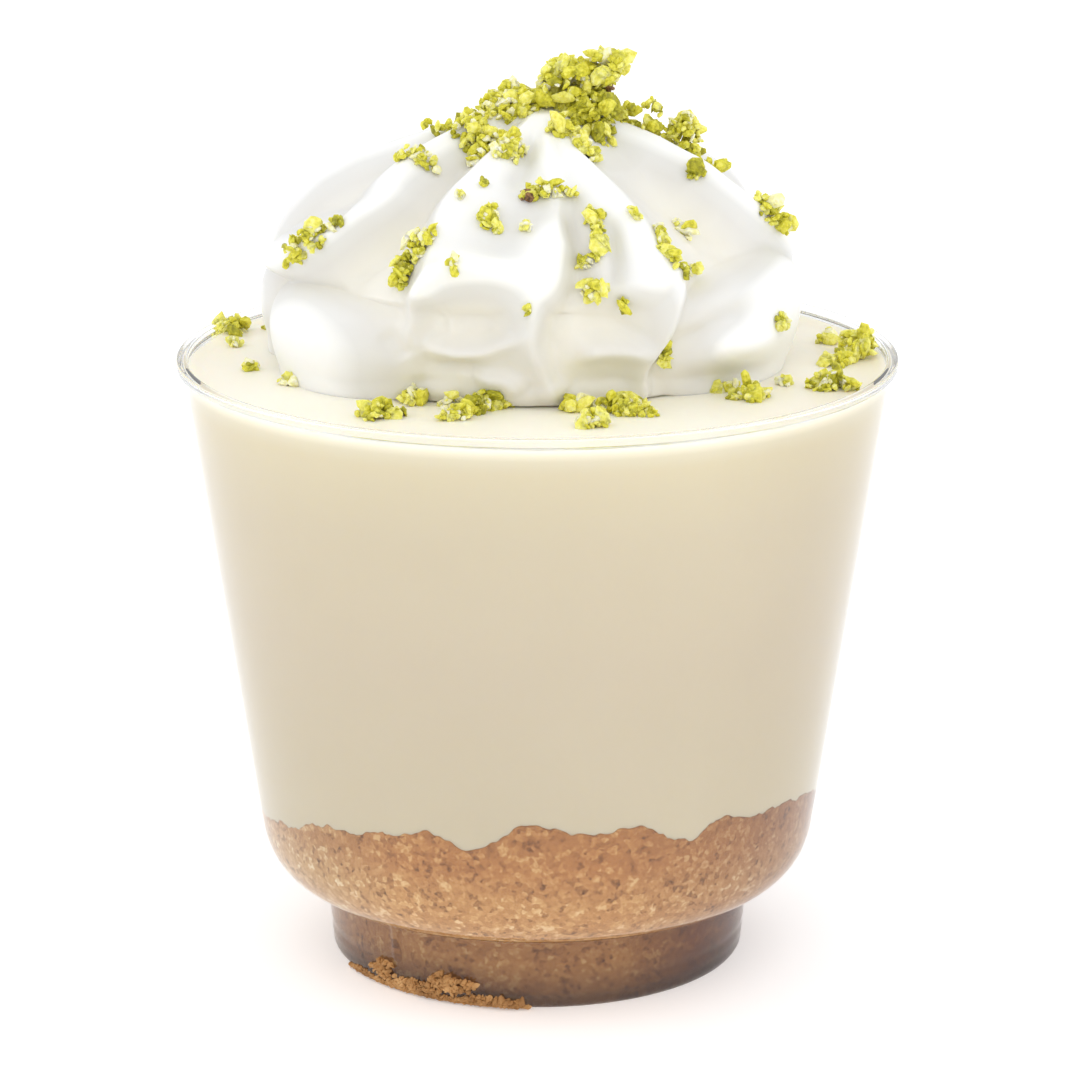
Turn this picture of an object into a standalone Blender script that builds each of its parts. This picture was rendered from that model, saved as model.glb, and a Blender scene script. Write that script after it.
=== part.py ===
"""Lemon mousse in a clear plastic dessert cup.

A crumb base and a pale lemon mousse fill the cup, a piped cream swirl sits on the mousse,
and chopped green nuts are scattered over both.

Metres, +Z up. The origin is the centre of the underside of the foot, and the front is -Y.
Angles go round from the front (0 degrees) towards +X (90 degrees).
"""

import math
import random

import bmesh
import bpy
import numpy as np
from mathutils import Matrix, Vector

MM = 0.001

# Sides of the cup and of what fills it, and the gap kept between pieces that touch
SIDES = 48
GAP = 0.3

# Cup, in millimetres
CUP_HEIGHT = 65.5
RIM_RADIUS = 38.0
BEAD_DEPTH = 1.1
WALL_TOP_RADIUS = 37.2
WALL = 1.1
SHOULDER_RADIUS = 29.62
SHOULDER_HEIGHT = 14.5
NECK_RADIUS = 22.9
NECK_HEIGHT = 8.0
FOOT_RADIUS = 22.1
FOOT_EDGE = 1.5
WELL_RADIUS = 20.3
WELL_FLOOR = 1.5
WELL_TOP = 9.5

# Fillings
MOUSSE_HEIGHT = 64.2
CRUMB_MEAN = 19.6
CRUMB_TILT = 1.9
CRUMB_LOW_SIDE = 3.0
# mounds along the front of the crumbs: angle, height, half width in degrees
CRUMB_MOUNDS = ((-33, 0.6, 6), (-21, 1.1, 5), (0, 2.0, 6), (19, 1.4, 6), (40, 0.8, 7))

# Cream swirl
CREAM_SIDES = 80
CREAM_RINGS = 30
TOP_RING = 0.96
CREAM_CENTRE = (-1.1, 5.0)
CREAM_TIP_LEAN = (1.9, -0.6)
CREAM_OUTLINE = (
    (26.4, 63.3), (27.3, 65.1), (28, 68.4), (28.3, 72), (28, 75.2), (26.2, 78.5), (22.8, 82.4),
    (18.4, 85.1), (12.2, 87.4), (6.4, 89), (2.2, 90.3), (0, 91.4))
OUTLINE_SMOOTHING = 40
OUTLINE_LENGTH = 47.0
PATH_STEPS = 6
VALLEY_DEPTH = 5.0
LOWER_DEPTH = 3.4
FOOT_FLARE = 0.9
TURN_BLEND = 1.8
CREST_BLUNT = 0.6

# Ridges of the upper turn: path of (angle, place) from the tip down, rise at its top and foot,
# fall per millimetre to its left and to its right
UPPER_RIDGES = (
    (((-74, 0.97), (-90, 0.78), (-98, 0.6), (-98, 0.45), (-101, 0.33), (-104, 0.24)),
     0.6, 0.3, 0.5, 0.55),
    (((-52, 0.97), (-62, 0.8), (-58, 0.69), (-51, 0.6), (-47, 0.52), (-49, 0.45), (-56, 0.38),
      (-66, 0.33), (-78, 0.285)),
     1.3, 1.1, 0.45, 1.25),
    (((-10, 0.97), (-17, 0.86), (-22, 0.74), (-24, 0.62), (-24, 0.53), (-23, 0.44), (-22, 0.37),
      (-21, 0.3)),
     0.9, 0.3, 0.85, 0.14),
    (((7.5, 0.64), (6.5, 0.56), (5.2, 0.47), (3.7, 0.36), (3, 0.3)), -0.7, 1.4, 0.3, 1),
    (((12, 0.97), (19, 0.84), (21.5, 0.73), (24.5, 0.6), (27, 0.5), (29, 0.43), (30, 0.34),
      (29, 0.26)),
     0.9, 0.7, 0.26, 0.8),
    (((80, 0.97), (79, 0.8), (77, 0.7), (74.5, 0.62), (73, 0.54), (74.5, 0.44), (84, 0.34),
      (92, 0.27)),
     1.2, 0.8, 0.8, 0.6),
    (((108, 0.97), (110, 0.78), (112, 0.6), (114, 0.45), (118, 0.33), (120, 0.25)),
     0.3, 0.3, 0.55, 0.55),
    (((140, 0.97), (141, 0.78), (143, 0.6), (146, 0.45), (148, 0.33), (150, 0.25)),
     0.5, 0.3, 0.55, 0.55),
    (((172, 0.97), (173, 0.78), (174, 0.6), (177, 0.45), (181, 0.33), (184, 0.25)),
     0.3, 0.2, 0.55, 0.55),
    (((204, 0.97), (205, 0.78), (207, 0.6), (209, 0.45), (213, 0.33), (216, 0.25)),
     0.5, 0.3, 0.55, 0.55),
    (((238, 0.97), (236, 0.78), (236, 0.6), (238, 0.45), (241, 0.33), (243, 0.25)),
     0.3, 0.2, 0.55, 0.55))

# Ridges of the lower turn that run down to the mousse: the same columns
LOWER_RIDGES = (
    (((5.8, 0.43), (4.2, 0.345), (1.5, 0.28), (1.5, 0.215), (2.2, 0.155), (4.5, 0.1), (6, 0.06)),
     1, -1.4, 0.7, 0.9),
    (((34, 0.33), (34, 0.29), (32, 0.19), (28.5, 0.12), (29, 0.03)), 0.6, -2.2, 0.5, 1.2))

# Lower edge of the upper turn: angle, place, how softly it ends, drop below it
UPPER_EDGE = (
    (-180, 0.28, 0.07, 4.5), (-150, 0.26, 0.07, 4.5), (-120, 0.27, 0.07, 4.5), (-95, 0.25, 0.07, 4.5),
    (-75, 0.275, 0.07, 4.5), (-58, 0.29, 0.07, 4.5), (-36, 0.285, 0.07, 4.5), (-27, 0.3, 0.1, 3.2),
    (-18, 0.36, 0.14, 3.4), (0, 0.37, 0.14, 3.2), (10, 0.345, 0.12, 3.4), (27, 0.33, 0.1, 3.6),
    (38, 0.335, 0.07, 4.5), (54, 0.33, 0.07, 4.5), (70, 0.3, 0.07, 4.5), (88, 0.27, 0.07, 4.5),
    (110, 0.26, 0.07, 4.5), (140, 0.28, 0.07, 4.5), (180, 0.28, 0.07, 4.5))

# Round lobes of the lower turn: angle, place, half width in degrees, half height, rise, drop
LOWER_LOBES = (
    (-100, 0.14, 22, 0.17, 0.6, 4.5), (-58, 0.14, 34, 0.155, 0.8, 4.6),
    (68, 0.19, 38, 0.16, 1.3, 4.6), (112, 0.15, 19, 0.17, 0.4, 4.5), (144, 0.15, 19, 0.17, 0.6, 4.5),
    (176, 0.15, 18, 0.17, 0.4, 4.5), (206, 0.15, 18, 0.17, 0.6, 4.5), (234, 0.15, 18, 0.17, 0.4, 4.5))

# Soft hollows, and rolls where the depth is negative: path, depth, half width
HOLLOWS = (
    (((-27, 0.09), (-27.5, 0.18), (-25.5, 0.27), (-20.5, 0.335), (-14, 0.36), (-7.5, 0.365),
      (0, 0.34)),
     -1.9, 1.5),
    (((-21, 0.215), (-15, 0.235), (-9, 0.235), (-3, 0.215)), 1.3, 2.6),
    (((-13.5, 0.075), (-6, 0.075), (-1, 0.035)), -1.6, 1.8),
    (((11, 0.135), (16, 0.15), (22, 0.152), (29, 0.14)), -1.5, 1.4),
    (((11, 0.2), (16, 0.215), (21, 0.21), (27, 0.19)), 0.6, 2),
    (((9, 0.085), (19, 0.065), (27, 0.08)), 0.9, 1.6),
    (((33, 0.145), (41, 0.18), (49, 0.21), (58, 0.225)), 1.3, 1.7),
    (((41, 0.15), (49, 0.155), (64, 0.135)), -0.7, 1.6),
    (((37, 0.06), (49, 0.065), (68, 0.05)), 1, 2),
    (((-35, 0.18), (-30, 0.155), (-28, 0.12)), 0.8, 1.5),
    (((-40, 0.6), (-41, 0.475), (-46, 0.39), (-52, 0.32)), 1.4, 3.2),
    (((50, 0.7), (52, 0.57), (56, 0.43), (59, 0.33)), 1.5, 3.6))

# Chopped nuts: angle, place up the swirl, length of the clump, pieces in it
CREAM_CLUMPS = (
    (-124, 0.87, 4.0, 2), (-126, 0.76, 4.0, 2), (-76, 0.72, 4.0, 2), (-64, 0.39, 5.0, 2),
    (-33, 0.44, 5.5, 3), (-13, 0.55, 3.5, 1), (4, 0.64, 4.5, 2), (18, 0.54, 3.5, 1),
    (15, 0.44, 3.5, 1), (15, 0.35, 2.5, 1), (35, 0.45, 4.0, 1), (31, 0.37, 3.0, 1),
    (75, 0.62, 4.5, 2), (107, 0.74, 5.0, 2), (84, 0.41, 5.0, 2), (65, 0.22, 2.5, 1))
BACK_NUTS = 12
# angle round the cup, distance from its axis, length of the clump, pieces in it
MOUSSE_CLUMPS = (
    (-85, 32.8, 2.0, 1), (-34, 28.5, 4.0, 2), (-15, 25.5, 5.0, 3), (11, 27.5, 3.5, 2),
    (23, 26.5, 5.0, 3), (56, 30.5, 4.0, 2), (71, 32.6, 3.5, 2), (90, 33.2, 4.5, 2),
    (110, 33.2, 2.5, 1), (-118, 33.4, 4.0, 2))
BACK_MOUSSE_NUTS = 7
# heap over the tip: middle and width of each mound, and the pieces on it
HEAP_MOUNDS = (
    ((1.6, 3.6, 91.2), 6.4, 6), ((4.4, 3.0, 93.0), 6.8, 9), ((6.4, 2.2, 90.4), 6.0, 7),
    ((-2.6, 4.6, 90.2), 4.4, 3))
HEAP_TOP = 97.6
NUT_SIZE = 2.4
SHORT_EDGE = 0.03

# Colours: red, green, blue (linear), roughness, transmission
PLASTIC = ((0.96, 0.97, 0.97), 0.08, 0.95)
MOUSSE_CREAM = ((0.86, 0.80, 0.62), 0.55, 0.0)
CRUMB_BROWN = ((0.50, 0.28, 0.12), 0.85, 0.0)
CREAM_WHITE = ((0.93, 0.92, 0.88), 0.5, 0.0)


def smooth_step(low, high, value):
    t = min(max((value - low) / (high - low), 0.0), 1.0)
    return t * t * (3.0 - 2.0 * t)


def ease(low, high, value):
    """The same step for an array of values."""
    t = np.clip((value - low) / (high - low), 0.0, 1.0)
    return t * t * (3.0 - 2.0 * t)


def blend_max(a, b, blend):
    """The larger of two arrays, rounded where they are nearly equal."""
    h = np.maximum(blend - np.abs(a - b), 0.0) / blend
    return np.maximum(a, b) + h * h * blend * 0.25


def wrap(angle):
    return (angle + 180.0) % 360.0 - 180.0


def bump(angle, centre, half_width):
    return math.exp(-((wrap(angle - centre) / half_width) ** 2))


def bezier(start, pull_start, pull_end, end, steps):
    """Points after the start of a cubic curve in the radius and height plane."""
    points = []
    for i in range(1, steps + 1):
        t = i / steps
        weights = ((1 - t) ** 3, 3 * (1 - t) ** 2 * t, 3 * (1 - t) * t * t, t ** 3)
        corners = (start, pull_start, pull_end, end)
        points.append(tuple(sum(w * c[k] for w, c in zip(weights, corners)) for k in (0, 1)))
    return points


def material(name, look):
    colour, roughness, transmission = look
    made = bpy.data.materials.new(name)
    made.use_nodes = True
    shader = made.node_tree.nodes["Principled BSDF"]
    shader.inputs["Base Color"].default_value = (*colour, 1.0)
    shader.inputs["Roughness"].default_value = roughness
    shader.inputs["Metallic"].default_value = 0.0
    shader.inputs["Transmission Weight"].default_value = transmission
    made.diffuse_color = (*colour, 1.0)
    return made


def add_object(name, mesh, look):
    mesh.materials.append(material(name, look))
    made = bpy.data.objects.new(name, mesh)
    bpy.context.scene.collection.objects.link(made)
    return made


def turned(name, outline, sides):
    """Mesh turned round Z from an outline of (radius, height) that starts and ends on the axis."""
    shape = bmesh.new()
    corners = [shape.verts.new((r * MM, 0.0, z * MM)) for r, z in outline]
    edges = [shape.edges.new(pair) for pair in zip(corners[:-1], corners[1:])]
    bmesh.ops.spin(
        shape, geom=corners + edges, cent=(0, 0, 0), axis=(0, 0, 1), dvec=(0, 0, 0),
        angle=math.tau, steps=sides, use_duplicate=False)
    bmesh.ops.remove_doubles(shape, verts=shape.verts, dist=0.01 * MM)
    bmesh.ops.recalc_face_normals(shape, faces=shape.faces)
    bmesh.ops.triangulate(shape, faces=shape.faces)
    mesh = bpy.data.meshes.new(name)
    shape.to_mesh(mesh)
    shape.free()
    return mesh


def shade(made, sharp_degrees):
    made.data.shade_smooth()
    made.data.set_sharp_from_angle(angle=math.radians(sharp_degrees))


def inner_wall():
    """Inside of the cup from the lip down to the middle of its floor."""
    lip = (WALL_TOP_RADIUS - WALL, CUP_HEIGHT - 0.5)
    shoulder = (SHOULDER_RADIUS - WALL, SHOULDER_HEIGHT + 0.1)
    corner = (WELL_RADIUS + 1.2, WELL_TOP)
    points = [lip, shoulder]
    pulls = ((shoulder[0] - 1.0, 10.7), (corner[0] + 2.8, corner[1] + 0.3))
    points += bezier(shoulder, *pulls, corner, 5)
    points += [(WELL_RADIUS, WELL_TOP - 1.0), (WELL_RADIUS - 0.1, WELL_FLOOR + 1.0)]
    points += [(WELL_RADIUS - 1.1, WELL_FLOOR), (0.0, WELL_FLOOR)]
    return points


def outer_wall():
    """Outside of the cup from the top of the bead down to the middle of the foot."""
    top = CUP_HEIGHT
    points = [
        (WALL_TOP_RADIUS - WALL + 0.4, top), (RIM_RADIUS - 0.5, top), (RIM_RADIUS, top - 0.35),
        (RIM_RADIUS, top - 0.75), (WALL_TOP_RADIUS, top - BEAD_DEPTH)]
    shoulder = (SHOULDER_RADIUS, SHOULDER_HEIGHT)
    neck = (NECK_RADIUS, NECK_HEIGHT)
    points.append(shoulder)
    points += bezier(shoulder, (SHOULDER_RADIUS - 0.87, 9.6), (NECK_RADIUS + 2.5, 8.5), neck, 6)
    points += [(NECK_RADIUS - 0.2, NECK_HEIGHT - 0.7), (FOOT_RADIUS, FOOT_EDGE)]
    for degrees in (45, 90):
        turn = math.radians(degrees)
        points.append((
            FOOT_RADIUS - FOOT_EDGE + FOOT_EDGE * math.cos(turn),
            FOOT_EDGE - FOOT_EDGE * math.sin(turn)))
    points.append((0.0, 0.0))
    return points


def inset(points, distance):
    """Outline moved towards the axis side by a distance, corners kept."""
    moved = []
    for i, here in enumerate(points):
        before = Vector(points[max(i - 1, 0)])
        after = Vector(points[min(i + 1, len(points) - 1)])
        here = Vector(here)
        normals = []
        for run in (here - before, after - here):
            if run.length > 0.0:
                run.normalize()
                normals.append(Vector((run.y, -run.x)))
        normal = sum(normals, Vector((0.0, 0.0))).normalized()
        stretch = 1.0 / max(normal.dot(normals[0]), 0.5)
        place = here + normal * distance * stretch
        moved.append((max(place.x, 0.0), place.y))
    return moved


def wall_radius(outline, height):
    """Radius of an outline that runs downwards, at a height."""
    for (r_high, z_high), (r_low, z_low) in zip(outline[:-1], outline[1:]):
        if z_low <= height <= z_high and z_high > z_low:
            return r_low + (r_high - r_low) * (height - z_low) / (z_high - z_low)
    return outline[0][0]


def crumb_height(angle, share):
    """Height of the crumbs at an angle; share is 1 at the wall and 0 on the axis."""
    height = CRUMB_TILT * math.cos(math.radians(angle - 14))
    height -= CRUMB_LOW_SIDE * bump(angle, -88, 26)
    for centre, rise, half_width in CRUMB_MOUNDS:
        height += rise * bump(angle, centre, half_width)
    height += 0.35 * math.sin(math.radians(7 * angle + 40)) * smooth_step(60, 120, abs(angle))
    return CRUMB_MEAN + height * share * share


def cup():
    mesh = turned("cup", [(0.0, WELL_FLOOR)] + inner_wall()[-2::-1] + outer_wall(), SIDES)
    made = add_object("cup", mesh, PLASTIC)
    shade(made, 35)
    return made


def shares(rings):
    return [i / rings for i in range(rings)]


def crumb_base():
    """Crumbs pressed into the cup: the wall's outline below, an uneven top."""
    limit = inset(inner_wall(), GAP)
    top = wall_radius(limit, CRUMB_MEAN)
    below = [p for p in limit if p[1] < SHOULDER_HEIGHT + 1.0]
    outline = [(top * share, CRUMB_MEAN) for share in shares(4)] + [(top, CRUMB_MEAN)] + below
    mesh = turned("crumb_base", outline, SIDES)
    for vert in mesh.vertices:
        radius = math.hypot(vert.co.x, vert.co.y)
        if vert.co.z > (CRUMB_MEAN - 0.5) * MM:
            angle = math.degrees(math.atan2(vert.co.x, -vert.co.y))
            height = crumb_height(angle, radius / (top * MM))
            if radius > (top - 0.5) * MM:
                scale = wall_radius(limit, height) / top
                vert.co.x *= scale
                vert.co.y *= scale
            vert.co.z = height * MM
    made = add_object("crumb_base", mesh, CRUMB_BROWN)
    shade(made, 40)
    return made


def mousse():
    """Mousse on the crumbs, up to just under the rim."""
    limit = inset(inner_wall(), GAP)
    top = wall_radius(limit, MOUSSE_HEIGHT)
    foot = wall_radius(limit, CRUMB_MEAN)
    middle = (CRUMB_MEAN + MOUSSE_HEIGHT) / 2
    outline = [(top * share, MOUSSE_HEIGHT) for share in (0.0, 0.6)]
    outline += [(top - 1.2, MOUSSE_HEIGHT), (top, MOUSSE_HEIGHT - 0.3)]
    outline += [(wall_radius(limit, middle), middle)]
    outline += [(foot, CRUMB_MEAN)] + [(foot * share, CRUMB_MEAN) for share in reversed(shares(4))]
    mesh = turned("mousse", outline, SIDES)
    for vert in mesh.vertices:
        radius = math.hypot(vert.co.x, vert.co.y)
        if vert.co.z < (CRUMB_MEAN + 0.5) * MM:
            angle = math.degrees(math.atan2(vert.co.x, -vert.co.y))
            height = crumb_height(angle, radius / (foot * MM)) + GAP
            if radius > (foot - 0.5) * MM:
                scale = wall_radius(limit, height) / foot
                vert.co.x *= scale
                vert.co.y *= scale
            vert.co.z = height * MM
    made = add_object("mousse", mesh, MOUSSE_CREAM)
    shade(made, 40)
    return made


def cream_profile(place):
    """Radius, height and outward direction of the swirl's outline; place is 0 at its foot, 1 at its tip."""
    corners = np.array(CREAM_OUTLINE)
    run = np.concatenate([[0.0], np.cumsum(np.hypot(*np.diff(corners, axis=0).T))])
    fine = np.linspace(0.0, 1.0, 20 * OUTLINE_SMOOTHING + 1)
    window = np.hanning(2 * OUTLINE_SMOOTHING + 1)
    radius, height = (np.interp(fine, run / run[-1], corners[:, k]) for k in (0, 1))
    reach = OUTLINE_SMOOTHING
    radius = np.concatenate([2 * radius[0] - radius[reach:0:-1], radius, -radius[-2:-reach - 2:-1]])
    height = np.concatenate([2 * height[0] - height[reach:0:-1], height, height[-2:-reach - 2:-1]])
    radius, height = (np.convolve(line, window / window.sum(), "valid") for line in (radius, height))
    radius[-1] = 0.0
    out_radius, out_height = np.gradient(height, fine), -np.gradient(radius, fine)
    size = np.hypot(out_radius, out_height)
    lines = (radius, height, out_radius / size, out_height / size)
    return [np.interp(place, fine, line) for line in lines]


def curve_through(path):
    """Points along a smooth curve through the points of a path."""
    corners = np.array(path, float)
    corners = np.vstack([2 * corners[0] - corners[1], corners, 2 * corners[-1] - corners[-2]])
    t = np.linspace(0.0, 1.0, PATH_STEPS, endpoint=False)[:, None]
    spans = []
    for a, b, c, d in zip(corners[:-3], corners[1:-2], corners[2:-1], corners[3:]):
        bend = (2 * a - 5 * b + 4 * c - d) * t ** 2 + (3 * b - a - 3 * c + d) * t ** 3
        spans.append(0.5 * (2 * b + (c - a) * t + bend))
    return np.vstack(spans + [corners[-2:-1]])


def path_distance(angle, place, radius, path):
    """Distance to a path on the opened-out surface, how far left of it, and the share along it."""
    points = curve_through(path)
    nearest = np.full(angle.shape, np.inf)
    side, along = np.zeros(angle.shape), np.zeros(angle.shape)
    per_degree = np.radians(1.0) * radius
    for i, (a, b) in enumerate(zip(points[:-1], points[1:])):
        px, py = wrap(angle - a[0]) * per_degree, (place - a[1]) * OUTLINE_LENGTH
        dx, dy = (b[0] - a[0]) * per_degree, (b[1] - a[1]) * OUTLINE_LENGTH
        t = np.clip((px * dx + py * dy) / (dx * dx + dy * dy), 0.0, 1.0)
        distance = np.hypot(px - t * dx, py - t * dy)
        closer = distance < nearest
        side = np.where(closer, (px * dy - py * dx) / np.hypot(dx, dy), side)
        along = np.where(closer, (i + t) / (len(points) - 1), along)
        nearest = np.where(closer, distance, nearest)
    return nearest, side, along


def ridge_height(angle, place, radius, ridge):
    """A blunt crest with a slope falling off each side of it."""
    path, top, foot, left, right = ridge
    distance, side, along = path_distance(angle, place, radius, path)
    fall = left + (right - left) * ease(-0.6, 0.6, -side)
    distance = np.hypot(distance, CREST_BLUNT) - CREST_BLUNT
    return top + (foot - top) * ease(0.0, 1.0, along) - fall * 1.25 * distance ** 0.88


def cream_rise(angle, place, radius):
    """How far the cream stands out from the outline at an angle and place."""
    upper = np.full(angle.shape, -VALLEY_DEPTH)
    for ridge in UPPER_RIDGES:
        upper = blend_max(upper, ridge_height(angle, place, radius, ridge), 0.7)
    edge = np.array(UPPER_EDGE)
    at, softness, drop = (np.interp(wrap(angle), edge[:, 0], edge[:, k]) for k in (1, 2, 3))
    upper = upper - drop * ease(0.0, softness, at - place)
    lower = np.full(angle.shape, -LOWER_DEPTH)
    for middle, level, half_width, half_height, rise, drop in LOWER_LOBES:
        squash = np.where(place < level, 0.5, 1.0)
        reach = (wrap(angle - middle) / half_width) ** 2 + ((place - level) * squash / half_height) ** 2
        lower = blend_max(lower, rise - drop * reach ** 1.25, 0.5)
    for ridge in LOWER_RIDGES:
        lower = blend_max(lower, ridge_height(angle, place, radius, ridge), 0.5)
    total = blend_max(upper, lower, TURN_BLEND) + FOOT_FLARE * (1.0 - ease(0.0, 0.07, place))
    for path, depth, half_width in HOLLOWS:
        distance, _, along = path_distance(angle, place, radius, path)
        fade = ease(-0.15, 0.3, along) * ease(-0.15, 0.3, 1.0 - along)
        total = total - depth * fade * np.exp(-((distance / half_width) ** 2))
    return total * (1.0 - ease(0.90, 1.0, place))


def cream_points(angle, place):
    """Points on the cream, a row of (x, y, z) for each pair of angle and place."""
    angle, place = np.atleast_1d(angle).astype(float), np.atleast_1d(place).astype(float)
    radius, height, out_radius, out_height = cream_profile(place)
    rise = cream_rise(angle, place, radius)
    radius = np.maximum(radius + out_radius * rise, 0.0)
    height = np.maximum(height + out_height * rise, MOUSSE_HEIGHT + GAP)
    lean = place ** 1.6
    turn = np.radians(angle)
    return np.stack([
        CREAM_CENTRE[0] + CREAM_TIP_LEAN[0] * lean + radius * np.sin(turn),
        CREAM_CENTRE[1] + CREAM_TIP_LEAN[1] * lean - radius * np.cos(turn),
        height], -1)


def cream_point(angle, place):
    return Vector(cream_points(angle, place)[0])


def cream_swirl():
    """A turned body whose every ring is pushed out into ridges and lobes."""
    places = [TOP_RING * i / CREAM_RINGS for i in range(CREAM_RINGS + 1)]
    outline = [(0.0, 0.0)] + [(1.0 + place, place) for place in places] + [(0.0, 1.0)]
    mesh = turned("cream_swirl", outline, CREAM_SIDES)
    angles = [math.degrees(math.atan2(vert.co.x, -vert.co.y)) for vert in mesh.vertices]
    spots = cream_points(angles, [vert.co.z / MM for vert in mesh.vertices])
    for vert, spot in zip(mesh.vertices, spots):
        if math.hypot(vert.co.x, vert.co.y) > 0.5 * MM:
            vert.co = Vector(spot) * MM
        elif vert.co.z < 0.5 * MM:
            vert.co = Vector((*CREAM_CENTRE, MOUSSE_HEIGHT + GAP)) * MM
        else:
            vert.co = cream_point(0.0, 1.0) * MM
    made = add_object("cream_swirl", mesh, CREAM_WHITE)
    shade(made, 50)
    return made


def add_nut(collection, place, size, draw):
    """One chopped piece: a squashed, turned and roughened ball of twenty faces."""
    shape = bmesh.new()
    bmesh.ops.create_icosphere(shape, subdivisions=1, radius=0.5 * size * MM)
    for vert in shape.verts:
        vert.co *= draw.uniform(0.85, 1.2)
    stretch = Matrix.Diagonal((draw.uniform(0.95, 1.35), draw.uniform(0.8, 1.0), draw.uniform(0.7, 0.95)))
    turn = Matrix.Rotation(draw.uniform(0, math.tau), 3, "Z")
    turn = turn @ Matrix.Rotation(draw.uniform(-0.6, 0.6), 3, "X")
    bmesh.ops.transform(shape, matrix=(turn @ stretch).to_4x4(), verts=shape.verts)
    bmesh.ops.translate(shape, vec=Vector(place) * MM, verts=shape.verts)
    mesh = bpy.data.meshes.new("nut")
    shape.to_mesh(mesh)
    shape.free()
    collection.objects.link(bpy.data.objects.new("nut", mesh))


def main_shell(shape):
    """Corners of the largest connected shell: the others are loose scraps or sealed hollows."""
    left = set(shape.verts)
    shells = []
    while left:
        start = left.pop()
        shell = {start}
        front = [start]
        while front:
            for edge in front.pop().link_edges:
                for vert in edge.verts:
                    if vert in left:
                        left.remove(vert)
                        shell.add(vert)
                        front.append(vert)
        shells.append(shell)
    return max(shells, key=len)


def neighbours(vert):
    return {edge.other_vert(vert) for edge in vert.link_edges}


def collapse_short_edges(shape):
    """Closes edges shorter than a limit wherever the surface stays closed around them."""
    found = True
    while found:
        found = False
        for edge in sorted(shape.edges, key=lambda e: e.calc_length()):
            if edge.calc_length() > SHORT_EDGE * MM:
                break
            first, second = edge.verts
            if len(neighbours(first) & neighbours(second)) == 2:
                bmesh.ops.pointmerge(shape, verts=[first, second], merge_co=(first.co + second.co) / 2)
                found = True
                break


def tidy_body(mesh):
    shape = bmesh.new()
    shape.from_mesh(mesh)
    bmesh.ops.triangulate(shape, faces=shape.faces, ngon_method="EAR_CLIP")
    main = main_shell(shape)
    bmesh.ops.delete(shape, geom=[vert for vert in shape.verts if vert not in main], context="VERTS")
    collapse_short_edges(shape)
    shape.to_mesh(mesh)
    shape.free()


def fuse(body, collection):
    """One union of a body with all that a collection holds, applied."""
    union = body.modifiers.new("nuts", "BOOLEAN")
    union.operation = "UNION"
    union.operand_type = "COLLECTION"
    union.collection = collection
    union.solver = "EXACT"
    evaluated = body.evaluated_get(bpy.context.evaluated_depsgraph_get())
    fused = bpy.data.meshes.new_from_object(evaluated)
    body.modifiers.clear()
    body.data = fused
    for piece in list(collection.objects):
        bpy.data.objects.remove(piece)
    bpy.data.collections.remove(collection)
    tidy_body(fused)


def nut_collection(name):
    collection = bpy.data.collections.new(name)
    bpy.context.scene.collection.children.link(collection)
    return collection


def cream_nuts(draw):
    """Heap on the tip, the clumps of the front, and an even spread behind."""
    collection = nut_collection("cream nuts")
    golden = math.radians(137.508)
    for middle, width, pieces in HEAP_MOUNDS:
        add_nut(collection, middle, 0.9 * width, draw)
        for i in range(pieces):
            share = (i + 0.5) / pieces
            flat = math.sqrt(1.0 - share * share)
            out = Vector((flat * math.cos(golden * i), flat * math.sin(golden * i), share))
            size = NUT_SIZE * draw.uniform(0.95, 1.3)
            spot = Vector(middle) + out * 0.42 * width
            spot.z = min(spot.z, HEAP_TOP - 0.6 * size)
            add_nut(collection, spot, size, draw)
    for angle, place, length, pieces in CREAM_CLUMPS:
        for i in range(pieces):
            along = (i - (pieces - 1) / 2) * length / max(pieces, 2)
            spot = cream_point(angle + draw.uniform(-3, 3), place + along / OUTLINE_LENGTH)
            add_nut(collection, spot, NUT_SIZE * draw.uniform(0.95, 1.25), draw)
    for i in range(BACK_NUTS):
        angle = 120 + 120 * ((i * 0.618034) % 1.0)
        spot = cream_point(angle, 0.28 + 0.55 * (i + 0.5) / BACK_NUTS)
        add_nut(collection, spot, NUT_SIZE * draw.uniform(0.85, 1.15), draw)
    return collection


def mousse_nuts(draw):
    """Clumps on the mousse in front, and a few more round the back, clear of the cream and the rim."""
    collection = nut_collection("mousse nuts")
    clumps = list(MOUSSE_CLUMPS)
    for i in range(BACK_MOUSSE_NUTS):
        angle = wrap(-170 + 230 * ((i * 0.618034) % 1.0) - 100)
        if abs(angle) > 100:
            clumps.append((angle, 33.2, 2.5, 1))
    for angle, distance, length, pieces in clumps:
        for i in range(pieces):
            size = NUT_SIZE * draw.uniform(0.85, 1.05)
            shift = math.degrees((i - (pieces - 1) / 2) * length / max(pieces, 2) / distance)
            turn = math.radians(angle + shift)
            x, y = distance * math.sin(turn), -distance * math.cos(turn)
            clear = math.hypot(x - CREAM_CENTRE[0], y - CREAM_CENTRE[1]) - size * 0.8
            if clear > 27.5 and distance + size * 0.8 < 35.6:
                add_nut(collection, (x, y, MOUSSE_HEIGHT + 0.15 * size), size, draw)
    return collection


def main():
    for old in list(bpy.data.objects):
        bpy.data.objects.remove(old)
    draw = random.Random(7)
    cup()
    crumb_base()
    fuse(mousse(), mousse_nuts(draw))
    fuse(cream_swirl(), cream_nuts(draw))


main()
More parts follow.
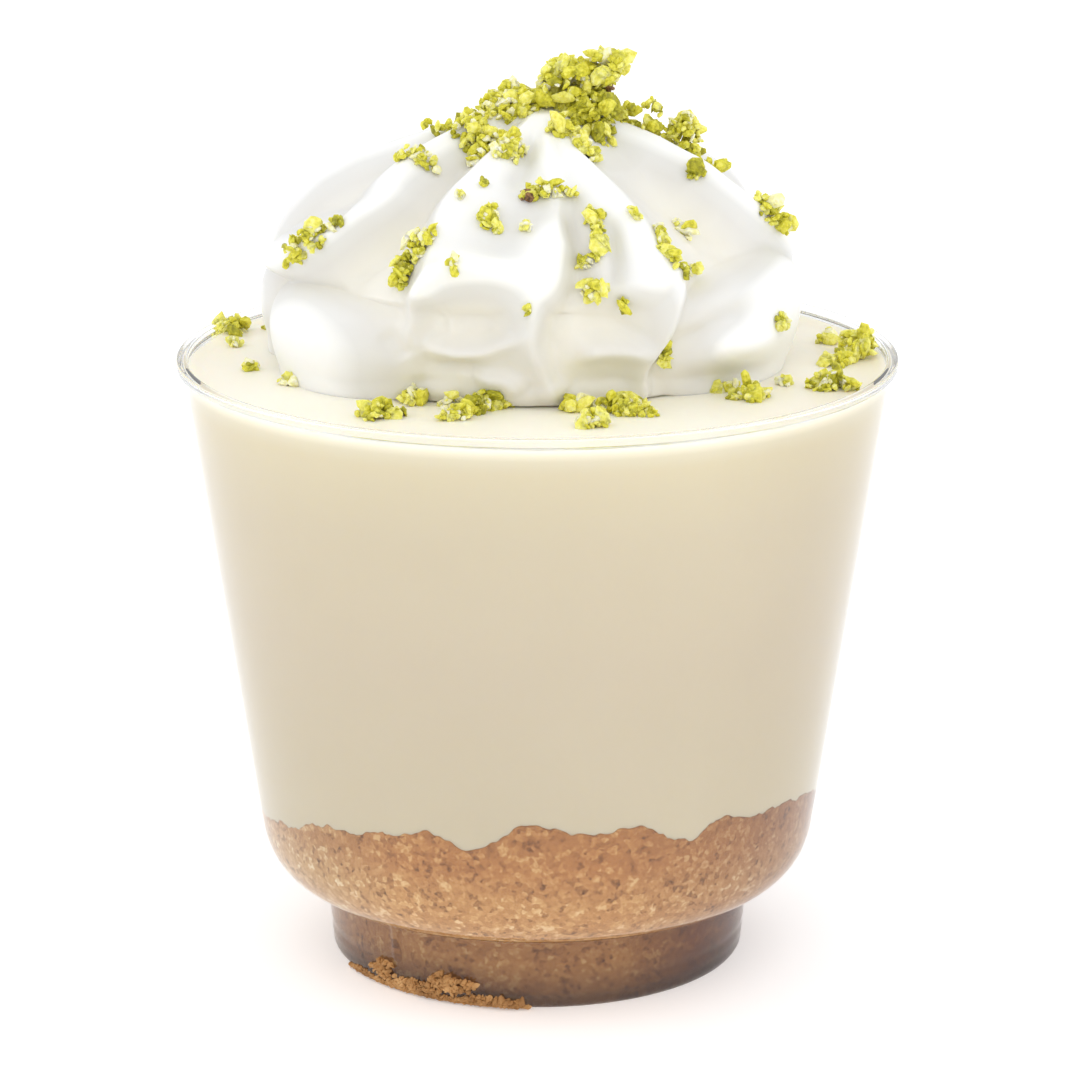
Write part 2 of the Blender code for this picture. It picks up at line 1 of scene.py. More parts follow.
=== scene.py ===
import bpy
import numpy as np
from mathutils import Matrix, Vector


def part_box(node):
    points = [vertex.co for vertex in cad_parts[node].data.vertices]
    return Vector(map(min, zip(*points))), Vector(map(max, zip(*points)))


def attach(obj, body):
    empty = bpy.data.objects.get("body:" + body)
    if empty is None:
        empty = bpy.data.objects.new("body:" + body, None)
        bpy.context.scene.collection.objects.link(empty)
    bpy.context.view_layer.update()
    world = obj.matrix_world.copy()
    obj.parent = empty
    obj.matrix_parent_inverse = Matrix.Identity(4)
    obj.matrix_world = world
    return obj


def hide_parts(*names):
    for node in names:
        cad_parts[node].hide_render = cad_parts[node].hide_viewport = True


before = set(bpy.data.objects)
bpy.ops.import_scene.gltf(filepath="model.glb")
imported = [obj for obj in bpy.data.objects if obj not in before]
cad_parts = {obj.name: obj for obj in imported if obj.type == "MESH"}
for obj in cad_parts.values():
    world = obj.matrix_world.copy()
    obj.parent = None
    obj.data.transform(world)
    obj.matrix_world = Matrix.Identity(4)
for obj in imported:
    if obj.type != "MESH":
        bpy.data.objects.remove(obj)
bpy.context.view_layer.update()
print("frame loaded:", ", ".join(sorted(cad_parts)))

# Lengths in the tables are millimetres, and meshes are in metres. Angles are degrees that go
# round from the front (0) towards +X (90). A place on the swirl is 0 at its foot and 1 at its tip.
mm = 0.001
cupBox = [np.array(corner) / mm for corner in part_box("cup")]


def smoothStep(low, high, x):
    # 0 below low, 1 above high, and an S-shaped curve between them
    t = np.clip((x - low) / (high - low), 0.0, 1.0)
    return t * t * (3.0 - 2.0 * t)


def softMax(a, b, blend):
    # the larger of two arrays, rounded off where they differ by less than blend
    h = np.maximum(blend - np.abs(a - b), 0.0) / blend
    return np.maximum(a, b) + h * h * blend * 0.25


def wrapAngle(angle):
    # the same angle, from -180 to 180
    return (angle + 180.0) % 360.0 - 180.0


def bell(x, middle, halfWidth):
    # 1 in the middle, falling off on both sides
    return np.exp(-((x - middle) / halfWidth) ** 2)


def cornerValue(ix, iy, iz, seed):
    # a scattered number from 0 to 1 for each corner of a lattice: the fraction of a large sine
    h = np.sin(ix * 127.1 + iy * 311.7 + iz * 74.7 + seed * 53.3) * 43758.5453
    return h - np.floor(h)


def noise(x, y, z, size, seed=0):
    # smooth noise from -1 to 1: the eight corner values of each lattice cell, blended by S-curves
    px, py, pz = x / size, y / size, z / size
    ix, iy, iz = np.floor(px), np.floor(py), np.floor(pz)
    fx, fy, fz = (f * f * (3.0 - 2.0 * f) for f in (px - ix, py - iy, pz - iz))
    total = 0.0
    for cx in (0, 1):
        for cy in (0, 1):
            for cz in (0, 1):
                weight = (fx if cx else 1 - fx) * (fy if cy else 1 - fy) * (fz if cz else 1 - fz)
                total = total + weight * cornerValue(ix + cx, iy + cy, iz + cz, seed)
    return total * 2.0 - 1.0


def addPiece(name, points, faces, material, smooth=True):
    mesh = bpy.data.meshes.new(name)
    mesh.from_pydata((points * mm).tolist(), [], faces)
    if smooth:
        mesh.shade_smooth()
    mesh.materials.append(material)
    piece = bpy.data.objects.new(name, mesh)
    bpy.context.scene.collection.objects.link(piece)
    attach(piece, "root")
    return piece


def turnedPiece(name, x, y, z, material):
    # a grid whose rows close round the axis and whose first and last rows are each drawn
    # together to one point at their mean; rows run upwards on the outside, so faces look out
    rows, columns = x.shape
    points = np.stack([x, y, z], -1)
    i = np.arange(rows - 1)[:, None] * columns
    j = np.arange(columns)[None, :]
    after = (j + 1) % columns
    quads = np.stack([i + j, i + after, i + columns + after, i + columns + j], -1).reshape(-1, 4)
    first, last = rows * columns, rows * columns + 1
    ring, nextRing = np.arange(columns), (np.arange(columns) + 1) % columns
    top = (rows - 1) * columns
    fans = np.concatenate([
        np.stack([np.full(columns, first), nextRing, ring], -1),
        np.stack([np.full(columns, last), top + ring, top + nextRing], -1)])
    ends = np.stack([points[0].mean(0), points[-1].mean(0)])
    allPoints = np.concatenate([points.reshape(-1, 3), ends])
    return addPiece(name, allPoints, quads.tolist() + fans.tolist(), material)


# Materials

def newMaterial(name, colour, **sockets):
    # a Principled shader with plain values on its own sockets
    material = bpy.data.materials.new(name)
    material.use_nodes = True
    shader = material.node_tree.nodes["Principled BSDF"]
    shader.inputs["Base Color"].default_value = (*colour, 1.0)
    for socket, value in sockets.items():
        shader.inputs[socket.replace("_", " ")].default_value = value
    return material, material.node_tree, shader


def addNode(tree, kind, inputs=(), **values):
    # one node with its settings, and its sockets set to values or linked from other sockets
    node = tree.nodes.new(kind)
    for name, value in values.items():
        setattr(node, name, value)
    for key, value in dict(inputs).items():
        if isinstance(value, bpy.types.NodeSocket):
            tree.links.new(value, node.inputs[key])
        else:
            node.inputs[key].default_value = value
    return node


def ramp(tree, factor, stops):
    # colour or grey stops at places from 0 to 1
    node = addNode(tree, "ShaderNodeValToRGB", {"Fac": factor})
    elements = node.color_ramp.elements
    while len(elements) < len(stops):
        elements.new(0.5)
    for element, (place, colour) in zip(elements, stops):
        element.position = place
        element.color = (*colour, 1.0)
    return node.outputs["Color"]


def mixColour(tree, factor, first, second, blendType="MIX"):
    node = addNode(tree, "ShaderNodeMix", data_type="RGBA", blend_type=blendType)
    for index, value in ((0, factor), (6, first), (7, second)):
        if isinstance(value, bpy.types.NodeSocket):
            tree.links.new(value, node.inputs[index])
        elif index:
            node.inputs[index].default_value = (*value, 1.0)
        else:
            node.inputs[index].default_value = value
    return node.outputs[2]


def objectPlace(tree):
    return addNode(tree, "ShaderNodeTexCoord").outputs["Object"]


def tintAlong(tree, axis, stops):
    # a colour ramp over one coordinate of the object, with its stops in millimetres
    low, high = stops[0][0], stops[-1][0]
    split = addNode(tree, "ShaderNodeSeparateXYZ", {"Vector": objectPlace(tree)})
    share = addNode(tree, "ShaderNodeMapRange", {
        "Value": split.outputs[axis], "From Min": low * mm, "From Max": high * mm})
    places = [((at - low) / (high - low), colour) for at, colour in stops]
    return ramp(tree, share.outputs["Result"], places)


def cloudy(tree, scale, detail):
    # noise from 0 to 1, finer as scale rises
    cloud = addNode(tree, "ShaderNodeTexNoise", {
        "Vector": objectPlace(tree), "Scale": scale, "Detail": detail})
    return cloud.outputs["Fac"]


def addBump(tree, shader, height, depth, strength):
    # depth is in millimetres
    bump = addNode(tree, "ShaderNodeBump", {
        "Height": height, "Strength": strength, "Distance": depth * mm})
    tree.links.new(bump.outputs["Normal"], shader.inputs["Normal"])


plasticLook = {
    "tint": (0.985, 0.99, 0.985),
    "roughness": 0.02,
    "ior": 1.49,
    # slow waves of the surface: scale, detail, depth, strength
    "waves": (60.0, 1.0, 0.05, 0.25)}


def clearPlastic():
    material, tree, shader = newMaterial(
        "clear plastic", plasticLook["tint"], Roughness=plasticLook["roughness"],
        IOR=plasticLook["ior"], Transmission_Weight=1.0)
    scale, detail, depth, strength = plasticLook["waves"]
    addBump(tree, shader, cloudy(tree, scale, detail), depth, strength)
    return material


mousseLook = {
    # colour by height, its own yellow with painted shade down the sides and painted light on top:
    # millimetres, red, green, blue
    "shades": [(18.0, (0.54, 0.465, 0.325)), (40.0, (0.56, 0.475, 0.34)), (54.0, (0.60, 0.515, 0.36)),
               (59.0, (0.635, 0.55, 0.375)), (61.6, (0.665, 0.58, 0.39)), (63.0, (0.71, 0.645, 0.47)),
               (63.7, (0.85, 0.795, 0.63)), (64.1, (0.955, 0.905, 0.77))],
    # tint across, painted shade towards the left and right edges, most on the right: millimetres, red,
    # green, blue
    "across": [(-36.0, (0.93, 0.92, 0.90)), (-28.0, (0.99, 0.99, 0.99)), (16.0, (1.0, 1.0, 1.0)),
               (28.0, (0.94, 0.93, 0.92)), (36.0, (0.90, 0.89, 0.87))],
    # patches: scale, detail, tints; froth: scale, detail, depth, strength
    "patches": (45.0, 3.0, [(0.3, (0.97, 0.965, 0.95)), (0.7, (1.0, 1.0, 1.0))]),
    "froth": (900.0, 4.0, 0.12, 0.25),
    "roughness": 0.42,
    "softness": 2.0}


def frothyFinish(tree, shader, look, shade):
    # the shade times the patches as colour, and the froth as bump
    scale, detail, tints = look["patches"]
    patches = ramp(tree, cloudy(tree, scale, detail), tints)
    tree.links.new(mixColour(tree, 1.0, shade, patches, "MULTIPLY"), shader.inputs["Base Color"])
    scale, detail, depth, strength = look["froth"]
    addBump(tree, shader, cloudy(tree, scale, detail), depth, strength)


def lemonMousse():
    material, tree, shader = newMaterial(
        "lemon mousse", (0.85, 0.8, 0.65), Roughness=mousseLook["roughness"],
        Subsurface_Weight=0.4, Subsurface_Scale=mousseLook["softness"] * mm)
    shader.inputs["Subsurface Radius"].default_value = (1.0, 0.8, 0.45)
    # painted light and shade: the mousse's own yellow, lighter on top and darker down the sides
    shade = tintAlong(tree, "Z", mousseLook["shades"])
    # painted shade towards the left and right edges
    shade = mixColour(tree, 1.0, shade, tintAlong(tree, "X", mousseLook["across"]), "MULTIPLY")
    frothyFinish(tree, shader, mousseLook, shade)
    return material


creamLook = {
    "colour": (0.87, 0.865, 0.835),
    # reliefs in millimetres between which the cream goes from painted shade in the hollows to white on the
    # crests, and its colours there
    "depths": (-3.6, 0.9),
    "shades": [(0.0, (0.83, 0.80, 0.72)), (0.45, (0.735, 0.715, 0.67)), (0.72, (0.745, 0.735, 0.705)),
               (0.9, (0.90, 0.895, 0.875))],
    # as for the mousse
    "patches": (120.0, 3.0, [(0.3, (0.98, 0.98, 0.975)), (0.7, (1.0, 1.0, 1.0))]),
    "froth": (1500.0, 3.0, 0.08, 0.2),
    "roughness": 0.42,
    "softness": 1.0}


def whippedCream():
    material, tree, shader = newMaterial(
        "whipped cream", creamLook["colour"], Roughness=creamLook["roughness"],
        Subsurface_Weight=0.6, Subsurface_Scale=creamLook["softness"] * mm)
    shader.inputs["Subsurface Radius"].default_value = (1.0, 0.92, 0.8)
    # painted shade: the cream greyer and warmer where it lies deep, whiter where it stands out
    reliefForShade = addNode(tree, "ShaderNodeAttribute", attribute_name="reliefForShade")
    shade = ramp(tree, reliefForShade.outputs["Fac"], creamLook["shades"])
    frothyFinish(tree, shader, creamLook, shade)
    return material


crumbLook = {
    # size of the cells, and the noise that bends them: scale, reach
    "grain": 0.55,
    "bend": (1400.0, 0.5),
    # finer and coarser noise: scales
    "noise": (2600.0, 420.0),
    # shares of the cells, the finer and the coarser noise, and the sums that take the end colours
    "shares": (0.5, 0.6, 0.6),
    "sums": (0.42, 1.18),
    "colours": [(0.0, (0.13, 0.05, 0.015)), (0.16, (0.32, 0.145, 0.045)), (0.34, (0.50, 0.25, 0.09)),
                (0.62, (0.57, 0.30, 0.115)), (0.84, (0.66, 0.39, 0.17)), (1.0, (0.80, 0.58, 0.33))],
    # tint by height, painted shade darkening the foot downwards, a painted highlight lighter and bluer from
    # 8.9 to 9.8 mm, and darker upwards from 14 mm: millimetres, red, green, blue
    "tints": [(0.0, (0.12, 0.095, 0.07)), (2.0, (0.29, 0.23, 0.165)), (5.0, (0.53, 0.445, 0.30)),
              (8.2, (0.52, 0.44, 0.34)), (8.9, (1.3, 1.5, 1.8)), (9.8, (1.12, 1.2, 1.3)),
              (11.0, (0.98, 0.97, 0.95)), (14.0, (0.90, 0.865, 0.775)), (18.0, (0.73, 0.585, 0.41)),
              (24.0, (0.67, 0.53, 0.35))],
    # tint across, of the layer and of what fills the foot, painted shade towards the right and painted
    # light, lighter and bluer, on the layer's left; the foot's left is greyer: millimetres, red, green,
    # blue
    "across": [(-30.0, (1.02, 1.24, 1.75)), (-22.0, (0.98, 1.14, 1.45)), (-14.0, (1.0, 1.0, 1.0)),
               (8.0, (0.96, 0.93, 0.90)), (24.0, (0.70, 0.69, 0.80)), (30.0, (0.66, 0.65, 0.76))],
    "acrossFoot": [(-21.0, (0.85, 0.80, 0.86)), (-12.0, (1.0, 0.98, 0.96)), (8.0, (0.96, 0.92, 0.85)),
                   (16.0, (0.42, 0.24, 0.10)), (21.0, (0.34, 0.20, 0.10))],
    # heights between which the foot's painted tint goes over into the layer's
    "neck": (8.0, 9.5),
    # bump of the grains: depth, strength
    "rough": (0.5, 0.6),
    "roughness": 0.8}


def pressedCrumbs():
    # cells of a fixed size, each with its own shade, under finer and coarser noise
    material, tree, shader = newMaterial(
        "pressed crumbs", (0.5, 0.3, 0.15), Roughness=crumbLook["roughness"])
    place = objectPlace(tree)
    scale, reach = crumbLook["bend"]
    wobble = addNode(tree, "ShaderNodeTexNoise", {"Vector": place, "Scale": scale, "Detail": 2.0})
    bend = addNode(tree, "ShaderNodeVectorMath", {
        0: wobble.outputs["Color"], "Scale": reach * mm}, operation="SCALE")
    bent = addNode(tree, "ShaderNodeVectorMath", {0: place, 1: bend.outputs[0]}, operation="ADD")
    cells = addNode(tree, "ShaderNodeTexVoronoi", {
        "Vector": bent.outputs[0], "Scale": 1.0 / (crumbLook["grain"] * mm), "Randomness": 1.0})
    grey = addNode(tree, "ShaderNodeSeparateColor", {"Color": cells.outputs["Color"]})
    fine, coarse = (cloudy(tree, scale, 4.0) for scale in crumbLook["noise"])
    cellShare, fineShare, coarseShare = crumbLook["shares"]
    first = addNode(tree, "ShaderNodeMath", {0: grey.outputs[0], 1: cellShare}, operation="MULTIPLY")
    second = addNode(tree, "ShaderNodeMath", {0: fine, 1: fineShare, 2: first.outputs[0]},
                     operation="MULTIPLY_ADD")
    third = addNode(tree, "ShaderNodeMath", {0: coarse, 1: coarseShare, 2: second.outputs[0]},
                    operation="MULTIPLY_ADD")
    darkest, lightest = crumbLook["sums"]
    share = addNode(tree, "ShaderNodeMapRange", {
        "Value": third.outputs[0], "From Min": darkest, "From Max": lightest})
    colour = ramp(tree, share.outputs["Result"], crumbLook["colours"])
    # painted shade on the foot and a painted highlight band at the shoulder, by height
    colour = mixColour(tree, 1.0, colour, tintAlong(tree, "Z", crumbLook["tints"]), "MULTIPLY")
    height = addNode(tree, "ShaderNodeSeparateXYZ", {"Vector": place})
    low, high = crumbLook["neck"]
    upper = addNode(tree, "ShaderNodeMapRange", {
        "Value": height.outputs["Z"], "From Min": low * mm, "From Max": high * mm})
    # painted light and shade across: the foot's tint below the neck, the layer's above it
    across = mixColour(tree, upper.outputs["Result"], tintAlong(tree, "X", crumbLook["acrossFoot"]),
                       tintAlong(tree, "X", crumbLook["across"]))
    colour = mixColour(tree, 1.0, colour, across, "MULTIPLY")
    tree.links.new(colour, shader.inputs["Base Color"])
    addBump(tree, shader, second.outputs[0], *crumbLook["rough"])
    return material


# Clear cup

cupForm = {
    "sides": 360,
    "wall": 0.45,
    # outside under the bead, and how far under the top the bead starts and is at its widest
    "topRadius": cupBox[1][0] - 0.8,
    "beadDrops": (1.1, 0.85),
    # inner foot of the lip: how far it is inside the wall and under the top
    "lip": (0.03, 0.8),
    # points of the outside as (radius, height), and the pulls of the curve that joins them there
    # and on the inside, from each of its ends
    "shoulder": (29.62, 14.5),
    "neck": (22.9, 8.0),
    "outerPulls": ((2.5, 0.5), (-0.87, -4.9)),
    "innerPulls": ((-1.0, -3.9), (2.8, 0.3)),
    "footRadius": 22.1,
    "footEdge": 1.5,
    # how much wider the foot is at its top, and how far that is under the neck
    "footLean": (0.6, 0.7),
    # well inside the foot: radius, height of its floor and of its mouth, and how much wider that is
    "wellRadius": 20.9,
    "wellFloor": 0.7,
    "wellTop": 9.5,
    "wellMouth": 1.2,
    # radius at which the two walls end at the middle
    "middle": 0.3,
    # mould line on the foot: angle, half width in degrees, height, lowest and highest
    "mouldLine": (-41.4, 0.8, 0.32, 3.2, 7.6),
    # rings round the foot: height, half width, depth
    "rings": [(3.1, 0.25, 0.2), (1.75, 0.2, 0.18)]}


def roundedLine(corners, step=1.0, steps=8):
    # a line through (radius, height, rounding): each corner is cut back by its rounding, and a
    # quadratic curve joins the two cuts; straight runs are split into even steps
    points = np.array([c[:2] for c in corners], float)
    line = [points[0]]
    for i in range(1, len(points)):
        before, here = points[i - 1], points[i]
        rounding = corners[i][2] if i < len(points) - 1 else 0.0
        direction = (here - before) / np.linalg.norm(here - before)
        cut = here - direction * rounding
        count = max(int(np.ceil(np.linalg.norm(cut - line[-1]) / step)), 1)
        start = line[-1]
        line += [start + (cut - start) * k / count for k in range(1, count + 1)]
        if rounding > 0.0:
            onward = (points[i + 1] - here) / np.linalg.norm(points[i + 1] - here)
            end = here + onward * rounding
            for k in range(1, steps + 1):
                t = k / steps
                line.append((1 - t) ** 2 * cut + 2 * t * (1 - t) * here + t * t * end)
    return np.array(line)


def pulledCurve(start, pullStart, pullEnd, end, steps):
    # points after the start of a cubic curve; the pulls lead from its ends to its inner corners
    t = (np.arange(1, steps + 1) / steps)[:, None]
    first, last = np.array(start, float), np.array(end, float)
    return ((1 - t) ** 3 * first + 3 * t * (1 - t) ** 2 * (first + pullStart)
            + 3 * t * t * (1 - t) * (last + pullEnd) + t ** 3 * last)


def lipFoot(form):
    # corner at which the lip's inside meets the wall, unrounded
    behind, under = form["lip"]
    return form["topRadius"] - form["wall"] - behind, cupBox[1][2] - under, 0


def outerWall(form):
    # from the middle of the underside up the outside to the top of the bead
    height, rim, top = cupBox[1][2], cupBox[1][0], form["topRadius"]
    foot, edge, (lean, gap) = form["footRadius"], form["footEdge"], form["footLean"]
    neck, shoulder = form["neck"], form["shoulder"]
    beadStart, beadWide = form["beadDrops"]
    low = roundedLine([
        (form["middle"], 0.0, 0), (foot, 0.0, edge), (foot + lean, neck[1] - gap, 0.3), (*neck, 0)], 0.5)
    curve = pulledCurve(neck, *form["outerPulls"], shoulder, 24)
    high = roundedLine([
        (*shoulder, 0), (top, height - beadStart, 0.25), (rim, height - beadWide, 0.25),
        (rim, height, 0.4), (top - form["wall"], height, 0.3), lipFoot(form)], 2.0)
    return np.concatenate([low, curve, high[1:]])


def innerWall(form):
    # from under the lip down the inside to the middle of the floor
    shoulder = (form["shoulder"][0] - form["wall"], form["shoulder"][1] + 0.1)
    well, floor = form["wellRadius"], form["wellFloor"]
    mouth = (well + form["wellMouth"], form["wellTop"])
    high = roundedLine([lipFoot(form), (*shoulder, 0)], 2.0)
    curve = pulledCurve(shoulder, *form["innerPulls"], mouth, 20)
    low = roundedLine([
        (*mouth, 0), (well, mouth[1] - 1.0, 0.4), (well - 0.1, floor + 1.0, 0.3),
        (well - 1.1, floor, 0.3), (form["middle"], floor, 0)], 1.0)
    return np.concatenate([high, curve, low[1:]])


def wallRadius(height):
    # radius of the inside of the cup at a height, from the floor of the well up
    line = innerWall(cupForm)
    rising = line[line[:, 0] > cupForm["wellRadius"] - cupForm["wellMouth"]][::-1]
    return np.interp(height, rising[:, 1], rising[:, 0])


def spin(radius, angle):
    # x and y of a point at an angle from the front
    turn = np.radians(angle)
    return radius * np.sin(turn), -radius * np.cos(turn)


def clearCup(form, material):
    # the two walls joined at the lip, turned round the axis; on the foot the radius gains a
    # narrow bell at the mould line and loses one at each ring
    line = np.concatenate([outerWall(form), innerWall(form)[1:]])
    outside = np.arange(len(line)) < len(outerWall(form))
    angle = np.linspace(-180, 180, form["sides"], endpoint=False)
    seam, width, proud, low, high = form["mouldLine"]
    angles, radius = np.meshgrid(angle, line[:, 0])
    height = np.repeat(line[:, 1:2], len(angle), 1)
    onFoot = (outside & (line[:, 0] > form["footRadius"] - 0.2))[:, None]
    along = smoothStep(low - 0.5, low + 0.5, height) * smoothStep(high + 0.3, high - 0.3, height)
    change = proud * bell(angles, seam, width) * along
    for at, half, depth in form["rings"]:
        change = change - depth * bell(height, at, half)
    radius = radius + np.where(onFoot, change, 0.0)
    x, y = spin(radius, angles)
    cup = turnedPiece("clear_cup", x, y, height, material)
    # so thin and clear a wall hardly shades or tints what it holds
    cup.visible_shadow = False
    cup.visible_diffuse = False
    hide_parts("cup")


# Crumbs and mousse

crumbForm = {
    "columns": 720,
    "reach": 0.12,  # into the plastic, so that no air gap shows
    # height of the crumbs at the wall: angle, millimetres
    "edge": [(-180, 20.6), (-150, 20.9), (-120, 19.2), (-91, 15.9), (-80, 16.6), (-70, 17.4), (-59, 18.0),
             (-50, 19.4), (-44, 20.1), (-36, 20.3), (-32, 21.2), (-28, 20.7), (-23, 21.9), (-19.5, 22.4),
             (-17.5, 20.6), (-13.5, 20.2), (-10.5, 20.3), (-7.5, 21.6), (-4.5, 22.8), (-1.5, 23.5),
             (1.5, 23.4), (6.5, 22.5), (10.5, 21.8), (14.5, 22.5), (20.5, 22.8), (23, 21.9), (25.5, 20.6),
             (32.5, 20.0), (34.5, 21.6), (39.5, 21.9), (45.5, 21.1), (52, 20.8), (59.5, 20.9), (71.5, 20.1),
             (83.5, 18.4), (100, 19.0), (125, 20.4), (150, 19.6), (180, 20.6)],
    "middle": 19.6,  # height of the top at the axis
    # degrees to each side over which the edge is rounded off, and its usual radius
    "rounding": 2.4,
    "edgeRadius": 28.5,
    # size and height of the grains along the edge, and of the roughness of the top
    "grains": [(1.4, 0.34), (0.55, 0.26)],
    "topRough": (1.1, 0.35),
    # height up to which the rows of the mesh are level
    "level": 15.0}

mousseForm = {
    "columns": 240,
    "height": 64.2,
    "reach": 0.08,  # into the plastic
    # depth of its underside below the crumbs' edge
    "under": 1.4,
    # swells of the top: size, height, seed; and its climb at the wall: width, height
    "swells": [(9.0, 0.12, 3), (3.0, 0.05, 5)],
    "climb": (1.6, 0.25)}


def crumbEdge(angle):
    # height at the wall: the listed heights joined by straight runs, rounded off by the mean over a
    # few degrees, plus noise of the grains' size
    edge = np.array(crumbForm["edge"])
    near = np.linspace(-crumbForm["rounding"], crumbForm["rounding"], 9)[:, None]
    height = np.interp(wrapAngle(angle + near), edge[:, 0], edge[:, 1]).mean(0)
    x, y = spin(crumbForm["edgeRadius"], angle)
    for size, rise in crumbForm["grains"]:
        height = height + rise * noise(x, y, 0 * x, size, 4)
    return height


def crumbLayer(form, material):
    # out over the well's floor, up the wall to the edge, then in over the top to the middle; the
    # top is at the middle height plus the edge's height above it times the share of the way out
    # to the power 6, and is rough with grains
    angle = np.linspace(-180, 180, form["columns"], endpoint=False)
    edge = crumbEdge(angle)
    rows, floor, level = [], cupForm["wellFloor"], form["level"]
    for share in np.linspace(0.02, 1.0, 8):
        radius = share * (cupForm["wellRadius"] - 1.0)
        rows.append((np.full_like(angle, radius), np.full_like(angle, floor - form["reach"])))
    for height in (*np.linspace(floor + 0.1, level - 1.0, 34), level - 0.5, level):
        radius = wallRadius(height) + form["reach"]
        rows.append((np.full_like(angle, radius), np.full_like(angle, height)))
    for share in np.linspace(0.05, 1.0, 24):
        height = level + (edge - level) * share
        rows.append((wallRadius(height) + form["reach"], height))
    for share in (0.995, 0.985, 0.96, 0.9, 0.8, 0.6, 0.4, 0.2, 0.05):
        radius = wallRadius(edge) * share
        x, y = spin(radius, angle)
        rough = form["topRough"][1] * noise(x, y, 0 * x, form["topRough"][0], 9)
        height = form["middle"] + (edge - form["middle"]) * share ** 6
        rows.append((radius, height + rough * (1 - share)))
    radius, height = (np.array(part) for part in zip(*rows))
    x, y = spin(radius, angle[None, :])
    layer = turnedPiece("crumb_layer", x, y, height, material)
    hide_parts("crumb_base")


def mousseTop(x, y):
    # height of the mousse: a level with slow noise, rising a little right at the wall
    radius = np.hypot(x, y)
    wall = wallRadius(mousseForm["height"])
    rise = sum(high * noise(x, y, 0 * x, size, seed) for size, high, seed in mousseForm["swells"])
    wide, high = mousseForm["climb"]
    return mousseForm["height"] + rise + high * smoothStep(wall - wide, wall, radius)


def mousseFill(form, material):
    # in the same rows: from the middle under the crumbs' top out to the wall, up it, and in
    angle = np.linspace(-180, 180, form["columns"], endpoint=False)
    low = crumbEdge(angle) - form["under"]
    rows = [(wallRadius(low) * share, low) for share in (0.05, 0.3, 0.6, 0.9)]
    top = mousseTop(*spin(wallRadius(form["height"]), angle))
    for share in np.linspace(0.0, 1.0, 60):
        height = low + (top - low) * share
        rows.append((wallRadius(height) + form["reach"], height))
    for share in (0.998, 0.99, 0.98, 0.965, 0.95, 0.92, 0.88, 0.83, 0.77, 0.7, 0.6, 0.45, 0.3, 0.1):
        radius = wallRadius(form["height"]) * share
        rows.append((np.full_like(angle, radius), mousseTop(*spin(radius, angle))))
    radius, height = (np.array(part) for part in zip(*rows))
    x, y = spin(radius, angle[None, :])
    fill = turnedPiece("mousse_fill", x, y, height, material)
    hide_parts("mousse")


# Whipped cream

